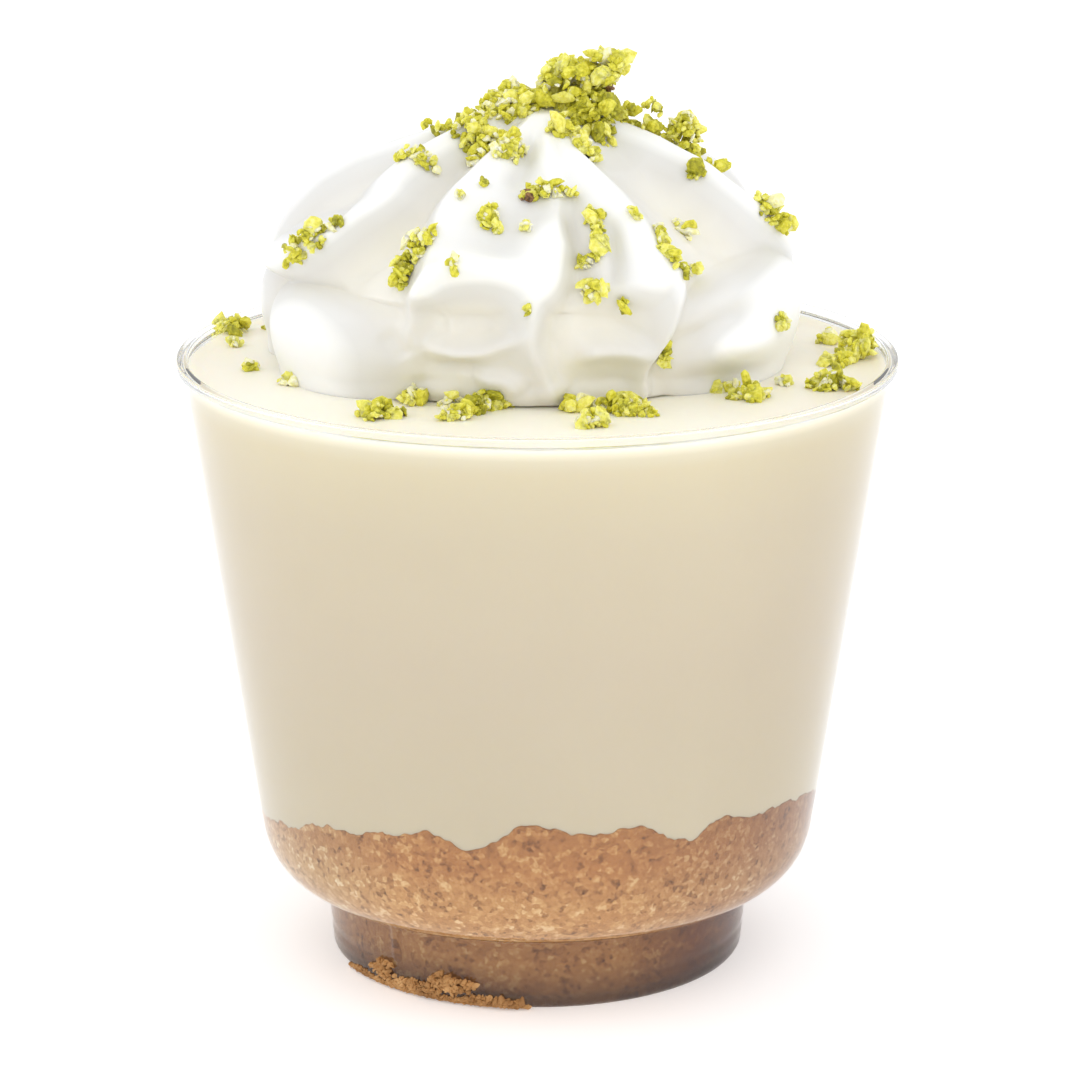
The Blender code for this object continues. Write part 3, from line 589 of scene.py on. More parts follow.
creamForm = {
    "columns": 480,
    "rows": 190,
    "centre": (-1.1, 5.0),
    # lean of the tip from the centre, which grows with this power of the place
    "tipShift": (1.9, -0.6),
    "leanPower": 1.6,
    # length of the outline from foot to tip
    "length": 47.0,
    # bluntness of a crest; steepness and power with which a ridge falls away from it
    "blunt": 0.6,
    "fall": (1.25, 0.88),
    # floors between the ridges of the upper and the lower turn, the blends within each turn and
    # the blend of the two
    "floors": (-5.0, -3.4),
    "blends": (0.7, 0.5),
    "blend": 1.8,
    # flare of the foot: how far out, and the place where it ends
    "flare": (0.9, 0.07),
    # sizes and reaches of the noise that bends the ridges
    "waver": [(9.0, 0.7), (3.5, 0.3)],
    # radius and height of the outline from its foot to its tip
    "outline": [(26.4, 63.3), (27.3, 65.1), (28.0, 68.4), (28.3, 72.0), (28.0, 75.2), (26.2, 78.5),
                (22.8, 82.4), (18.4, 85.1), (12.2, 87.4), (6.4, 89.0), (2.2, 90.3), (0.0, 91.4)],
    # ridges of the upper turn: path of (angle, place) from the tip down, rise at its top and
    # at its foot, slope on its left and on its right
    "upper": [
        ([(-74, .97), (-90, .78), (-98, .6), (-98, .45), (-101, .33), (-104, .24)], 0.6, 0.3, 0.5, 0.55),
        ([(-52, .97), (-62, .8), (-58, .69), (-51, .6), (-47, .52), (-49, .45), (-56, .38), (-66, .33),
          (-78, .285)], 1.3, 1.1, 0.45, 1.25),
        ([(-10, .97), (-17, .86), (-22, .74), (-24, .62), (-24, .53), (-23, .44), (-22, .37), (-21, .3)],
         0.9, 0.3, 0.85, 0.14),
        ([(7.5, .64), (6.5, .56), (5.2, .47), (3.7, .36), (3, .3)], -0.7, 1.4, 0.3, 1.0),
        ([(12, .97), (19, .84), (21.5, .73), (24.5, .6), (27, .5), (29, .43), (30, .34), (29, .26)],
         0.9, 0.7, 0.26, 0.8),
        ([(80, .97), (79, .8), (77, .7), (74.5, .62), (73, .54), (74.5, .44), (84, .34), (92, .27)],
         1.2, 0.8, 0.8, 0.6),
        ([(108, .97), (110, .78), (112, .6), (114, .45), (118, .33), (120, .25)], 0.3, 0.3, 0.55, 0.55),
        ([(140, .97), (141, .78), (143, .6), (146, .45), (148, .33), (150, .25)], 0.5, 0.3, 0.55, 0.55),
        ([(172, .97), (173, .78), (174, .6), (177, .45), (181, .33), (184, .25)], 0.3, 0.2, 0.55, 0.55),
        ([(204, .97), (205, .78), (207, .6), (209, .45), (213, .33), (216, .25)], 0.5, 0.3, 0.55, 0.55),
        ([(238, .97), (236, .78), (236, .6), (238, .45), (241, .33), (243, .25)], 0.3, 0.2, 0.55, 0.55)],
    # lower edge of the upper turn: angle, place, softness, drop below it
    "edge": [(-180, .28, .07, 4.5), (-150, .26, .07, 4.5), (-120, .27, .07, 4.5), (-95, .25, .07, 4.5),
             (-75, .275, .07, 4.5), (-58, .29, .07, 4.5), (-36, .285, .07, 4.5), (-27, .3, .1, 3.2),
             (-18, .36, .14, 3.4), (0, .37, .14, 3.2), (10, .345, .12, 3.4), (27, .33, .1, 3.6),
             (38, .335, .07, 4.5), (54, .33, .07, 4.5), (70, .3, .07, 4.5), (88, .27, .07, 4.5),
             (110, .26, .07, 4.5), (140, .28, .07, 4.5), (180, .28, .07, 4.5)],
    # lumps of the lower turn: angle, place, half width, half height, rise, drop at the rim
    "lumps": [(-100, .14, 22, .17, .6, 4.5), (-58, .14, 34, .155, .8, 4.6), (68, .19, 38, .16, 1.3, 4.6),
              (112, .15, 19, .17, .4, 4.5), (144, .15, 19, .17, .6, 4.5), (176, .15, 18, .17, .4, 4.5),
              (206, .15, 18, .17, .6, 4.5), (234, .15, 18, .17, .4, 4.5)],
    # ridges of the lower turn, as above
    "lower": [
        ([(5.8, .43), (4.2, .345), (1.5, .28), (1.5, .215), (2.2, .155), (4.5, .1), (6, .06)],
         1.0, -1.4, 0.7, 0.9),
        ([(34, .33), (34, .29), (32, .19), (28.5, .12), (29, .03)], 0.6, -2.2, 0.5, 1.2)],
    # soft hollows, and rolls where the depth is negative: path, depth, half width
    "grooves": [
        ([(-27, .09), (-27.5, .18), (-25.5, .27), (-20.5, .335), (-14, .36), (-7.5, .365), (0, .34)],
         -1.9, 1.5),
        ([(-21, .215), (-15, .235), (-9, .235), (-3, .215)], 1.3, 2.6),
        ([(-25, .155), (-17, .14), (-9, .15), (-1, .18)], -1.6, 1.2),
        ([(-24, .1), (-13, .1), (0, .09)], 0.8, 1.0),
        ([(-13.5, .075), (-6, .075), (-1, .035)], -1.6, 1.8),
        ([(11, .56), (10.5, .45), (9.5, .33), (6, .2), (6.5, .1), (9.5, .045)], 1.5, 1.2),
        ([(20.5, .5), (20, .44), (19, .38), (18, .32)], 0.9, 1.1),
        ([(11, .135), (16, .15), (22, .152), (29, .14)], -1.5, 1.4),
        ([(11, .2), (16, .215), (21, .21), (27, .19)], 0.3, 2.0),
        ([(9, .085), (19, .065), (27, .08)], 0.4, 1.6),
        ([(33, .145), (41, .18), (49, .21), (58, .225)], 1.3, 1.7),
        ([(41, .15), (49, .155), (64, .135)], -0.7, 1.6),
        ([(37, .06), (49, .065), (68, .05)], 1.0, 2.0),
        ([(-35, .18), (-30, .155), (-28, .12)], 0.8, 1.5),
        ([(-66, .52), (-60, .47), (-56, .42)], 0.8, 1.2),
        ([(2, .9), (5.5, .765), (6, .635), (5.5, .55)], -0.8, 1.1),
        ([(-1.5, .86), (-4.5, .77), (-7, .68), (-9, .6)], 0.8, 1.3),
        ([(-40, .6), (-41, .475), (-46, .39), (-52, .32)], 1.4, 3.2),
        ([(50, .7), (52, .57), (56, .43), (59, .33)], 1.5, 3.6)]}


def curveThrough(points, steps=6):
    # a smooth curve through the points, a few straight steps to each span: the cubic whose slope
    # at each point is half the way between that point's two neighbours
    p = np.array(points, float)
    p = np.vstack([2 * p[0] - p[1], p, 2 * p[-1] - p[-2]])
    t = np.linspace(0, 1, steps, endpoint=False)[:, None]
    parts = []
    for i in range(1, len(p) - 2):
        a, b, c, d = p[i - 1:i + 3]
        parts.append(0.5 * (2 * b + (c - a) * t + (2 * a - 5 * b + 4 * c - d) * t ** 2
                            + (3 * b - a - 3 * c + d) * t ** 3))
    return np.vstack(parts + [p[-2:-1]])


def pathDistance(angle, place, radius, path):
    # distance to a path on the opened-out surface, how far to the left of it, and the share along it:
    # across is the angle times the radius, and up is the place times the outline's length
    points = curveThrough(path)
    best = np.full(angle.shape, 1e9)
    side, along = np.zeros(angle.shape), np.zeros(angle.shape)
    scale = np.radians(1.0) * radius
    for i, (a, b) in enumerate(zip(points[:-1], points[1:])):
        px = wrapAngle(angle - a[0]) * scale
        py = (place - a[1]) * creamForm["length"]
        dx, dy = (b[0] - a[0]) * scale, (b[1] - a[1]) * creamForm["length"]
        t = np.clip((px * dx + py * dy) / (dx * dx + dy * dy + 1e-9), 0, 1)
        ex, ey = px - t * dx, py - t * dy
        distance = ex * ex + ey * ey
        near = distance < best
        side = np.where(near, (px * dy - py * dx) / (np.hypot(dx, dy) + 1e-9), side)
        along = np.where(near, (i + t) / (len(points) - 1), along)
        best = np.where(near, distance, best)
    return np.sqrt(best), side, along


def ridgeHeight(angle, place, radius, ridge):
    # the rise along the crest less slope x steepness x distance ** power, with its own slope on
    # each side of the crest and the crest itself blunt
    path, top, foot, left, right = ridge
    distance, side, along = pathDistance(angle, place, radius, path)
    toRight = smoothStep(-0.6, 0.6, -side)
    slope = left * (1 - toRight) + right * toRight
    blunt = creamForm["blunt"]
    distance = np.sqrt(distance * distance + blunt * blunt) - blunt
    steepness, power = creamForm["fall"]
    return top + (foot - top) * smoothStep(0.0, 1.0, along) - slope * steepness * distance ** power


def creamOutline(place):
    # radius, height and outward direction of the outline, smoothed by a sliding mean
    p = np.array(creamForm["outline"])
    share = np.concatenate([[0], np.cumsum(np.hypot(*np.diff(p, axis=0).T))])
    fine = np.linspace(0, 1, 801)
    kernel = np.hanning(81) / np.hanning(81).sum()
    smooth = []
    for values in (np.interp(fine, share / share[-1], p[:, k]) for k in (0, 1)):
        before = 2 * values[0] - values[40:0:-1]
        after = -values[-2:-42:-1] if len(smooth) == 0 else values[-2:-42:-1]
        smooth.append(np.convolve(np.concatenate([before, values, after]), kernel, "valid"))
    radius, height = smooth
    radius[-1] = 0.0
    outRadius, outHeight = np.gradient(height, fine), -np.gradient(radius, fine)
    size = np.hypot(outRadius, outHeight)
    return [np.interp(place, fine, v) for v in (radius, height, outRadius / size, outHeight / size)]


def creamWarp(angle, place, radius, height):
    # angle and place moved a little by smooth noise, so that ridges and ledges waver
    x, y = spin(radius, angle)
    fade = 1 - smoothStep(0.75, 0.95, place)
    for size, reach in creamForm["waver"]:
        sideways, upwards = (reach * fade * noise(x, y, height, size, seed) for seed in (21, 22))
        angle = angle + sideways / np.radians(np.maximum(radius, 6.0))
        place = place + upwards / creamForm["length"]
    return angle, place


def creamRelief(angle, place):
    # the outline pushed out along its own direction by the larger of the two turns' reliefs,
    # and how far it is pushed
    trueAngle, truePlace = np.broadcast_arrays(np.asarray(angle, float), np.asarray(place, float))
    radius, height, outRadius, outHeight = creamOutline(truePlace)
    angle, place = creamWarp(trueAngle, truePlace, radius, height)
    upper, lower = (np.full(angle.shape, floor) for floor in creamForm["floors"])
    upperBlend, lowerBlend = creamForm["blends"]
    for ridge in creamForm["upper"]:
        upper = softMax(upper, ridgeHeight(angle, place, radius, ridge), upperBlend)
    edge = np.array(creamForm["edge"])
    rim, softness, drop = (np.interp(wrapAngle(angle), edge[:, 0], edge[:, k]) for k in (1, 2, 3))
    upper = upper - drop * smoothStep(0.0, softness, rim - place)
    for middle, at, wide, tall, rise, drop in creamForm["lumps"]:
        squash = np.where(place < at, 0.5, 1.0)
        reach = (wrapAngle(angle - middle) / wide) ** 2 + ((place - at) * squash / tall) ** 2
        lower = softMax(lower, rise - drop * reach ** 1.25, lowerBlend)
    for ridge in creamForm["lower"]:
        lower = softMax(lower, ridgeHeight(angle, place, radius, ridge), lowerBlend)
    relief = softMax(upper, lower, creamForm["blend"])
    out, end = creamForm["flare"]
    relief = relief + out * (1 - smoothStep(0.0, end, place))
    for path, depth, wide in creamForm["grooves"]:
        distance, _, along = pathDistance(angle, place, radius, path)
        fade = smoothStep(-0.15, 0.3, along) * smoothStep(-0.15, 0.3, 1 - along)
        relief = relief - depth * fade * bell(distance, 0.0, wide)
    relief = relief * (1 - smoothStep(0.90, 1.0, truePlace))
    radius = np.maximum(radius + outRadius * relief, 0.0)
    x, y = spin(radius, trueAngle)
    lean = truePlace ** creamForm["leanPower"]
    x = x + creamForm["centre"][0] + creamForm["tipShift"][0] * lean
    y = y + creamForm["centre"][1] + creamForm["tipShift"][1] * lean
    return np.stack([x, y, height + outHeight * relief], -1), relief


def creamFrame(angle, place):
    # points on the swirl and the direction out of it there, from two short steps round and up it
    turn, rise = 0.6, 0.006
    around = creamRelief(angle + turn, place)[0] - creamRelief(angle - turn, place)[0]
    up = creamRelief(angle, place + rise)[0] - creamRelief(angle, place - rise)[0]
    out = np.cross(around, up)
    return creamRelief(angle, place)[0], out / np.linalg.norm(out, axis=-1, keepdims=True)


def whippedSwirl(form, material):
    angle = np.linspace(-180, 180, form["columns"], endpoint=False)
    place = np.linspace(0, 0.998, form["rows"])
    points, relief = creamRelief(*np.meshgrid(angle, place))
    swirl = turnedPiece("whipped_swirl", *np.moveaxis(points, -1, 0), material)
    # how far each point stands out, from 0 in the deepest hollow to 1 on a crest, which sets the painted
    # shade
    deepest, highest = creamLook["depths"]
    share = np.append(relief.ravel(), [relief[0].mean(), relief[-1].mean()])
    share = np.clip((share - deepest) / (highest - deepest), 0.0, 1.0)
    reliefForShade = swirl.data.attributes.new("reliefForShade", "FLOAT", "POINT")
    reliefForShade.data.foreach_set("value", share.astype(np.float32))
    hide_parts("cream_swirl")


# Chopped nuts

# a clump's tone goes from -0.5, dark, to 0.5, pale, and this one makes it of brown skin
skinTone = 9

nutForm = {
    # clumps on the cream: angle, place, length, width, turn of the length from level, tone
    "onCream": [
        (-53, .655, 4.8, 2.2, 42, 0), (-57, .81, 5.2, 3.2, 100, 0), (-66, .88, 4.4, 3.0, 20, 0),
        (-15, .75, 5.0, 3.0, 90, .3), (-34, .80, 5.0, 3.4, 60, .2), (25, .755, 5.0, 2.4, 115, .1),
        (18, .83, 4.0, 3.2, 0, -.1), (69, .585, 2.2, 1.6, 90, -.3), (4.5, .585, 6.0, 2.5, -4, 0),
        (-1.5, .568, 1.6, 1.3, 20, skinTone),
        (-11.8, .495, 4.4, 2.4, 112, -.05), (17.5, .50, 2.5, 1.8, 0, -.1), (17, .45, 6.4, 1.5, 92, -.1),
        (14.5, .395, 2.6, 1.7, 10, 0), (32.5, .42, 4.2, 1.3, 72, .1), (33.5, .35, 4.2, 1.5, -60, -.1),
        (54, .50, 3.2, 1.6, 95, .4), (44, .35, 2.4, 1.6, -20, 0), (-28, .425, 4.8, 3.2, -22, .15),
        (-31.5, .365, 4.8, 3.2, 80, -.25), (-60, .352, 7.2, 2.5, 46, 0), (-54, .42, 1.5, 1.1, 0, -.5),
        (79, .39, 6.8, 2.5, -58, -.05), (15, .318, 3.0, 2.1, 0, 0), (21.5, .275, 2.1, 1.4, 90, 0),
        (61.5, .175, 2.6, 1.9, 0, 0), (33.5, .115, 4.4, 1.1, 90, -.2), (-16, .355, 1.7, 1.6, 0, .1),
        (27, .48, 2.0, 0.9, 100, .1), (-17.5, .60, 1.3, 1.1, 0, -.2), (-1.5, .47, 1.2, 1.0, 0, .5),
        (0, .263, 2.4, 0.8, 90, -.1), (-22.5, .55, 1.1, 0.9, 0, .5)],
    # clumps on the mousse: x, y, length, width, turn of the length from +X, tone
    "onMousse": [
        (-30.1, -2.6, 2.2, 1.6, 30, 0), (-25.2, -9.0, 3.4, 1.8, -30, .4), (-15.9, -23.1, 4.8, 3.4, 10, -.1),
        (-12.4, -17.4, 3.2, 3.0, 40, .1), (-8.8, -19.2, 2.4, 2.8, 90, .3), (-5.3, -19.0, 6.2, 5.0, 70, 0),
        (-8.2, -24.0, 3.8, 2.6, 20, 0), (4.4, -19.9, 3.4, 2.6, 0, .2), (8.8, -21.0, 6.4, 4.8, -20, -.05),
        (5.4, -27.0, 4.2, 2.6, 10, .2), (19.6, -12.4, 6.2, 1.4, 10, .2), (21.8, -15.0, 4.8, 4.0, 20, -.05),
        (25.7, -8.9, 2.0, 1.6, 0, .1), (31.2, 10.0, 3.0, 1.8, 0, 0), (31.7, -0.3, 3.6, 2.6, 30, 0),
        (30.4, -10.6, 5.8, 3.4, -10, 0), (-32.2, 15.4, 3.2, 2.0, 60, 0)],
    # heaps: middle, half sizes, tone
    "heaps": [
        ((-2.2, 3.8, 90.9), (3.5, 2.4, 2.4), .12), ((3.0, 3.6, 93.4), (2.9, 2.6, 3.0), .05),
        ((7.4, 3.2, 95.4), (1.9, 1.9, 1.9), .1), ((7.6, 2.4, 92.6), (0.5, 1.2, 1.1), skinTone),
        ((5.9, 2.6, 90.6), (2.5, 2.4, 2.9), -.3),
        ((6.6, 0.6, 87.6), (1.8, 1.6, 2.2), -.1), ((-6.2, 4.4, 89.4), (2.0, 1.8, 1.5), 0),
        ((-10.2, 3.4, 88.9), (2.2, 0.9, 0.7), -.1), ((9.4, 4.0, 89.8), (1.3, 1.2, 1.7), -.15),
        ((11.9, 4.0, 90.4), (1.1, 1.0, 1.5), -.2), ((10.9, 4.0, 88.6), (2.1, 1.2, 0.9), 0),
        ((15.2, 4.0, 87.5), (2.1, 1.8, 2.7), 0), ((18.7, 4.0, 84.9), (1.0, 1.0, 0.8), 0),
        ((34.0, 3.6, 65.6), (2.0, 2.8, 1.3), 0), ((-33.6, 14.4, 65.2), (1.4, 1.6, 0.7), 0)],
    # clumps spread behind: start and span of their arc, first place and span of places or radius,
    # and between which lengths, widths and tones they are
    "behindCream": {"count": 26, "arc": (130, 96), "places": (0.22, 0.62),
                    "length": (1.5, 5.5), "width": (1.2, 3.0), "tone": (-0.2, 0.2)},
    "behindMousse": {"count": 14, "arc": (95, 170), "radius": 33.6,
                     "length": (1.5, 4.0), "width": (1.2, 2.0), "tone": (-0.2, 0.2)},
    # kinds from dark to pale: share of the grains, darkest, middle and lightest colour; the skin,
    # which stays last, has its own clumps instead of a share
    "kinds": {
        "olive": (0.10, (0.22, 0.21, 0.006), (0.40, 0.38, 0.01), (0.60, 0.56, 0.04)),
        "green": (0.38, (0.42, 0.39, 0.012), (0.68, 0.63, 0.04), (0.82, 0.77, 0.12)),
        "yellow": (0.40, (0.66, 0.61, 0.05), (0.86, 0.80, 0.15), (0.94, 0.89, 0.33)),
        "pale": (0.12, (0.82, 0.77, 0.34), (0.93, 0.88, 0.52), (0.97, 0.94, 0.72)),
        "skin": (0.0, (0.09, 0.04, 0.025), (0.22, 0.11, 0.045), (0.38, 0.20, 0.08))},
    # sizes of most grains, and of the larger shards among them
    "grain": (0.45, 1.15),
    "shard": (1.2, 2.0),
    "shardShare": 0.09,
    # grains to a square millimetre of a clump and to a cubic one of a heap
    "fullness": 4.0,
    "heapFullness": 2.6,
    # how far the grains keep in from the edge of a clump, and how far above the surface the lowest
    # lie, as a share of their size
    "inset": 0.6,
    "lift": 0.2,
    # height of a clump's middle as a share of its width, and the width past which it stays the same
    "pile": (0.55, 3.4)}

nutLook = {
    "roughness": 0.55,
    "softness": 0.8,
    # mottle: scale, detail, and the places of a kind's three colours
    "mottle": (2000.0, 4.0),
    "stops": (0.3, 0.5, 0.68),
    # bump: depth, strength
    "rough": (0.3, 0.8)}

# a grain: planes that cut its ball, their distances, its farthest corner, its roughness, and its
# stretch on three axes
grainForm = {
    "planes": 9,
    "cuts": (0.55, 0.95),
    "farthest": 1.25,
    "rough": 0.08,
    "stretch": [(1.1, 1.7), (0.8, 1.2), (0.5, 0.9)]}


def grainBall():
    # the 26 outer corners of a 3 x 3 x 3 lattice moved onto a ball, and 48 faces
    steps = (-1, 0, 1)
    lattice = [(x, y, z) for x in steps for y in steps for z in steps if (x, y, z) != (0, 0, 0)]
    index = {corner: i for i, corner in enumerate(lattice)}
    faces = []
    for axis in range(3):
        for side in (-1, 1):
            for a, b in ((-1, -1), (0, -1), (-1, 0), (0, 0)):
                quad = []
                for da, db in ((0, 0), (1, 0), (1, 1), (0, 1)):
                    corner = [0, 0, 0]
                    corner[axis], corner[(axis + 1) % 3], corner[(axis + 2) % 3] = side, a + da, b + db
                    quad.append(index[tuple(corner)])
                quad = quad[::side]
                faces += [(quad[0], quad[1], quad[2]), (quad[0], quad[2], quad[3])]
    points = np.array(lattice, float)
    return points / np.linalg.norm(points, axis=1, keepdims=True), np.array(faces)


def turns(count, draw):
    # random rotation matrices from random unit quaternions
    q = draw.normal(size=(count, 4))
    w, x, y, z = (q / np.linalg.norm(q, axis=1, keepdims=True)).T
    return np.stack([
        1 - 2 * (y * y + z * z), 2 * (x * y - z * w), 2 * (x * z + y * w),
        2 * (x * y + z * w), 1 - 2 * (x * x + z * z), 2 * (y * z - x * w),
        2 * (x * z - y * w), 2 * (y * z + x * w), 1 - 2 * (x * x + y * y)], -1).reshape(-1, 3, 3)


def grains(name, middles, sizes, material, draw):
    # angular bits: a ball cut by random planes, so that a corner's distance is the smallest of
    # plane distance / cosine; then stretched on three axes, turned, scaled and moved to its place
    ball, faces = grainBall()
    count, planes = len(middles), grainForm["planes"]
    normals = draw.normal(size=(count, planes, 3))
    normals /= np.linalg.norm(normals, axis=-1, keepdims=True)
    cosine = np.maximum(np.einsum("npj,kj->nkp", normals, ball), 0.05)
    reach = (draw.uniform(*grainForm["cuts"], (count, 1, planes)) / cosine).min(-1)
    reach = np.minimum(reach, grainForm["farthest"])
    reach = reach * (1 + grainForm["rough"] * draw.uniform(-1, 1, reach.shape))
    stretch = np.stack([draw.uniform(low, high, count) for low, high in grainForm["stretch"]], -1)
    shape = ball[None] * reach[..., None] * stretch[:, None]
    shape = np.einsum("nij,nkj->nki", turns(count, draw), shape)
    points = shape * 0.5 * sizes[:, None, None] + middles[:, None]
    allFaces = (faces[None] + len(ball) * np.arange(count)[:, None, None]).reshape(-1, 3)
    return addPiece(name, points.reshape(-1, 3), allFaces.tolist(), material, smooth=False)


def ovalSpread(count, length, width, turn, draw):
    # places scattered over an oval and their share of the way out: the square root of a random
    # share times the half sizes, with the rim drawn in and out by two waves of random phase
    share, angle = np.sqrt(draw.uniform(0, 1, count)), draw.uniform(0, 2 * np.pi, count)
    ragged = share * (1 + 0.22 * np.sin(3 * angle + draw.uniform(0, 6))
                      + 0.15 * np.sin(5 * angle + draw.uniform(0, 6)))
    u, v = 0.5 * length * ragged * np.cos(angle), 0.5 * width * ragged * np.sin(angle)
    t = np.radians(turn)
    return u * np.cos(t) - v * np.sin(t), u * np.sin(t) + v * np.cos(t), share


def grainSizes(form, count, draw):
    # most between the two sizes of a grain, and a share of them shards
    low, high = form["grain"]
    size = low + (high - low) * draw.beta(1.6, 2.2, count)
    large = draw.uniform(0, 1, count) < form["shardShare"]
    return np.where(large, draw.uniform(*form["shard"], count), size)


def nutClump(form, length, width, turn, draw):
    # places over an oval, sizes, and how far the grains lie above the surface: as many as the
    # area needs, piled highest at the middle of the clump, and none much larger than it is wide
    count = int(form["fullness"] * length * width) + 1
    innerLength, innerWidth = (max(side - form["inset"], 0.1) for side in (length, width))
    u, v, share = ovalSpread(count, innerLength, innerWidth, turn, draw)
    size = np.minimum(grainSizes(form, count, draw), 1.1 * width)
    steepness, widest = form["pile"]
    pile = steepness * min(width, widest) * (1 - share ** 2)
    return u, v, size, form["lift"] * size + draw.uniform(0, 1, count) * pile


def arcAngle(spread, i):
    # even spacing along the arc: each step is the golden share of it
    start, span = spread["arc"]
    return start + span * ((i * 0.618034) % 1.0)


def nutPlaces(form, draw):
    # middles, sizes and tones of all grains, from the clumps on the cream and on the mousse, each
    # with a spread behind, and from the heaps
    middles, sizes, tones = [], [], []

    def keep(places, size, tone):
        middles.append(places)
        sizes.append(size)
        tones.append(draw.uniform(0, 1, len(size)) + tone)

    onCream, spread = list(form["onCream"]), form["behindCream"]
    for i in range(spread["count"]):
        lowest, span = spread["places"]
        place = lowest + span * (i + 0.5) / spread["count"]
        length, width = draw.uniform(*spread["length"]), draw.uniform(*spread["width"])
        turn, tone = draw.uniform(0, 180), draw.uniform(*spread["tone"])
        onCream.append((arcAngle(spread, i), place, length, width, turn, tone))
    for angle, place, length, width, turn, tone in onCream:
        u, v, size, lift = nutClump(form, length, width, turn, draw)
        radius = np.maximum(creamOutline(place)[0], 4.0)
        spot = np.clip(place + v / creamForm["length"], 0.02, 0.96)
        at, out = creamFrame(angle + np.degrees(u / radius), spot)
        keep(at + out * lift[:, None], size, tone)
    onMousse, spread = list(form["onMousse"]), form["behindMousse"]
    for i in range(spread["count"]):
        angle = arcAngle(spread, i)
        length, width = draw.uniform(*spread["length"]), draw.uniform(*spread["width"])
        x, y = spin(spread["radius"], angle)
        onMousse.append((x, y, length, width, angle, draw.uniform(*spread["tone"])))
    for x, y, length, width, turn, tone in onMousse:
        u, v, size, lift = nutClump(form, length, width, turn, draw)
        keep(np.stack([x + u, y + v, mousseTop(x + u, y + v) + lift], -1), size, tone)
    ballVolume = 4.19  # of a radius of 1
    for middle, half, tone in form["heaps"]:
        count = int(form["heapFullness"] * ballVolume * np.prod(half)) + 1
        way = draw.normal(size=(count, 3))
        way /= np.linalg.norm(way, axis=1, keepdims=True)
        share = draw.uniform(0.25, 1.0, count) ** (1 / 3)
        places = np.array(middle) + way * share[:, None] * np.array(half)
        keep(places, grainSizes(form, count, draw) * 1.1, tone)
    return np.concatenate(middles), np.concatenate(sizes), np.concatenate(tones)


def nutMaterial(kind, colours):
    material, tree, shader = newMaterial(
        f"chopped nut {kind}", colours[1], Roughness=nutLook["roughness"], Subsurface_Weight=0.5,
        Subsurface_Scale=nutLook["softness"] * mm)
    shader.inputs["Subsurface Radius"].default_value = (1.0, 0.9, 0.3)
    mottle = cloudy(tree, *nutLook["mottle"])
    colour = ramp(tree, mottle, list(zip(nutLook["stops"], colours)))
    tree.links.new(colour, shader.inputs["Base Color"])
    addBump(tree, shader, mottle, *nutLook["rough"])
    return material


def choppedNuts(form):
    # a grain's kind is the one whose part of the running total of shares holds its tone, and the
    # skin takes the tones from skinTone up; the number of grains is given back
    draw = np.random.default_rng(11)
    middles, sizes, tones = nutPlaces(form, draw)
    upTo = np.cumsum([values[0] for values in form["kinds"].values()])[:-2]
    chosen = np.where(tones >= skinTone, len(upTo) + 1, np.searchsorted(upTo, tones))
    for i, (kind, (_, *colours)) in enumerate(form["kinds"].items()):
        mine = chosen == i
        piece = grains(f"nuts_{kind}", middles[mine], sizes[mine], nutMaterial(kind, colours), draw)
    return len(middles)


# Crumbs smeared on the outside of the foot

smearForm = {
    # film: lowest and highest angle, height it reaches, grains, smallest and largest grain
    "film": (-66, -2, 2.1, 1500, (0.22, 0.5)),
    # lumps: angle, height, their own width and height, grains; they stand out up to lumpProud
    "lumps": [(-47, 2.2, 3.4, 2.0, 60), (-24, 2.2, 5.0, 2.2, 110), (-34, 1.2, 3.4, 1.6, 50),
              (-11, 0.8, 5.6, 1.3, 80)],
    "lumpGrain": (0.3, 0.75),
    "lumpProud": 0.4,
    # mottle: scale, detail, colours
    "mottle": (500.0, 4.0),
    "shades": [(0.3, (0.30, 0.14, 0.04)), (0.55, (0.48, 0.25, 0.085)), (0.75, (0.66, 0.40, 0.17))]}


def footOutside(height):
    # radius of the outside of the foot, from the round of its edge up to just under the neck
    line = outerWall(cupForm)
    onSide = line[:, 0] > cupForm["footRadius"] - cupForm["footEdge"]
    rising = line[onSide & (line[:, 1] < cupForm["neck"][1] - 1.0)]
    return np.interp(height, rising[:, 1], rising[:, 0])


def smearedCrumbs():
    material, tree, shader = newMaterial("smeared crumbs", (0.3, 0.15, 0.05), Roughness=0.7)
    colour = ramp(tree, cloudy(tree, *smearForm["mottle"]), smearForm["shades"])
    tree.links.new(colour, shader.inputs["Base Color"])
    return material


def footSmear(form, material):
    # a film of grains, thickest at the bottom, with lumps on it; across is the share of its arc, and
    # its upper edge is at top x sin(pi x (0.08 + 0.84 across)) x (0.7 + 0.3 sin(17 across))
    draw = np.random.default_rng(5)
    low, high, top, count, filmGrain = form["film"]
    across = draw.uniform(0, 1, count)
    edge = top * np.sin(np.pi * (0.08 + 0.84 * across)) * (0.7 + 0.3 * np.sin(17 * across))
    heights, angles = [edge * draw.uniform(0, 1, count) ** 1.4], [low + (high - low) * across]
    sizes, prouds = [draw.uniform(*filmGrain, count)], [np.zeros(count)]
    for middle, level, width, tall, number in form["lumps"]:
        u, v, share = ovalSpread(number, width, tall, 0, draw)
        heights.append(level + v)
        angles.append(middle + np.degrees(u / cupForm["footRadius"]))
        sizes.append(draw.uniform(*form["lumpGrain"], number))
        prouds.append(form["lumpProud"] * (1 - share ** 2) * draw.uniform(0, 1, number))
    height, angle, size, proud = (np.concatenate(part) for part in (heights, angles, sizes, prouds))
    height = np.maximum(height, 0.95 * size)  # so that they hardly reach under the floor
    x, y = spin(footOutside(height) + 0.1 * size + proud, angle)
    piece = grains("foot_crumbs", np.stack([x, y, height], -1), size, material, draw)


# Stage: floor, lights, camera

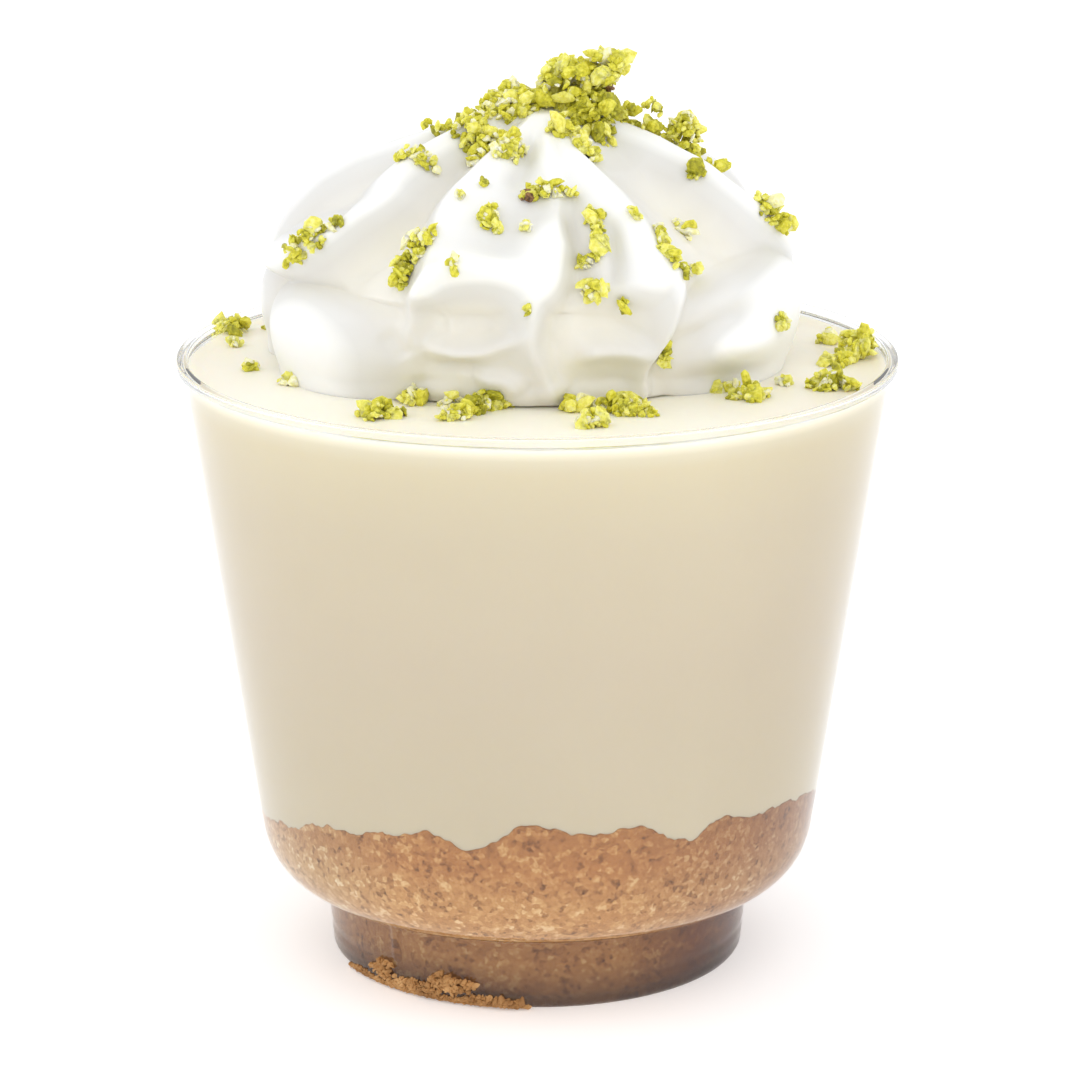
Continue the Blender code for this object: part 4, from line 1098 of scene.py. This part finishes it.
stageForm = {
    "floor": 6.0,
    "camera": {"place": (0.0, -0.4955, 0.1812), "tilt": 74.63, "lens": 160.9, "shift": 0.0025},
    # area lights, all aimed at one place: place, width, height, watts
    "aim": (0.0, 0.0, 0.05),
    "lights": {"left": ((-0.85, 0.0, 0.6), 0.6, 0.6, 1.3), "right": ((0.8, -0.2, 0.6), 0.6, 0.6, 1.1),
               "front": ((0.05, -0.75, 0.6), 0.7, 0.6, 1.2)},
    # brightness of the sky at the horizon and overhead, and the upward shares between which it changes
    "sky": (0.86, 1.06, 0.0, 0.8),
    "lightColour": (0.97, 0.98, 1.0),
    "floorGlow": 0.25}


def paleFloor(form):
    material, tree, shader = newMaterial(
        "pale floor", (0.92, 0.92, 0.92), Roughness=0.7, Emission_Strength=form["floorGlow"])
    shader.inputs["Emission Color"].default_value = (1.0, 1.0, 1.0, 1.0)
    speck = addNode(tree, "ShaderNodeTexNoise", {"Vector": objectPlace(tree), "Scale": 30.0})
    shade = ramp(tree, speck.outputs["Fac"], [(0.0, (0.91, 0.91, 0.91)), (1.0, (0.93, 0.93, 0.93))])
    tree.links.new(shade, shader.inputs["Base Color"])
    half = form["floor"] / 2
    mesh = bpy.data.meshes.new("floor")
    corners = [(-half, -half, 0), (half, -half, 0), (half, half, 0), (-half, half, 0)]
    mesh.from_pydata(corners, [], [(0, 1, 2, 3)])
    mesh.materials.append(material)
    floor = bpy.data.objects.new("floor", mesh)
    bpy.context.scene.collection.objects.link(floor)


def studioLights(form):
    for name, (place, width, height, watts) in form["lights"].items():
        light = bpy.data.lights.new(name, "AREA")
        light.shape = "RECTANGLE"
        light.size, light.size_y, light.energy = width, height, watts
        light.color = form["lightColour"]
        lamp = bpy.data.objects.new(name, light)
        lamp.location = place
        towards = Vector(form["aim"]) - Vector(place)
        lamp.rotation_euler = towards.to_track_quat("-Z", "Y").to_euler()
        bpy.context.scene.collection.objects.link(lamp)
    horizon, overhead, low, high = form["sky"]
    world = bpy.data.worlds.new("studio")
    world.use_nodes = True
    tree = world.node_tree
    way = addNode(tree, "ShaderNodeTexCoord").outputs["Generated"]
    split = addNode(tree, "ShaderNodeSeparateXYZ", {"Vector": way})
    sky = addNode(tree, "ShaderNodeMapRange", {
        "Value": split.outputs["Z"], "From Min": low, "From Max": high, "To Min": horizon,
        "To Max": overhead}, interpolation_type="SMOOTHSTEP")
    tree.nodes["Background"].inputs["Color"].default_value = (*form["lightColour"], 1.0)
    tree.links.new(sky.outputs["Result"], tree.nodes["Background"].inputs["Strength"])
    bpy.context.scene.world = world


def setCamera(form):
    values = form["camera"]
    camera = bpy.data.objects.new("camera", bpy.data.cameras.new("camera"))
    camera.location = values["place"]
    camera.rotation_euler = (np.radians(values["tilt"]), 0.0, 0.0)
    camera.data.lens, camera.data.sensor_width = values["lens"], 36.0
    camera.data.shift_x = values["shift"]
    camera.data.clip_start = 0.01
    bpy.context.scene.collection.objects.link(camera)
    bpy.context.scene.camera = camera


setCamera(stageForm)
studioLights(stageForm)
paleFloor(stageForm)
bpy.context.scene.view_settings.view_transform = "Standard"
print("stage set")
clearCup(cupForm, clearPlastic())
print("cup made")
mousseFill(mousseForm, lemonMousse())
crumbLayer(crumbForm, pressedCrumbs())
footSmear(smearForm, smearedCrumbs())
print("mousse and crumbs made")
whippedSwirl(creamForm, whippedCream())
print("cream made")
print("nuts made:", choppedNuts(nutForm), "grains")
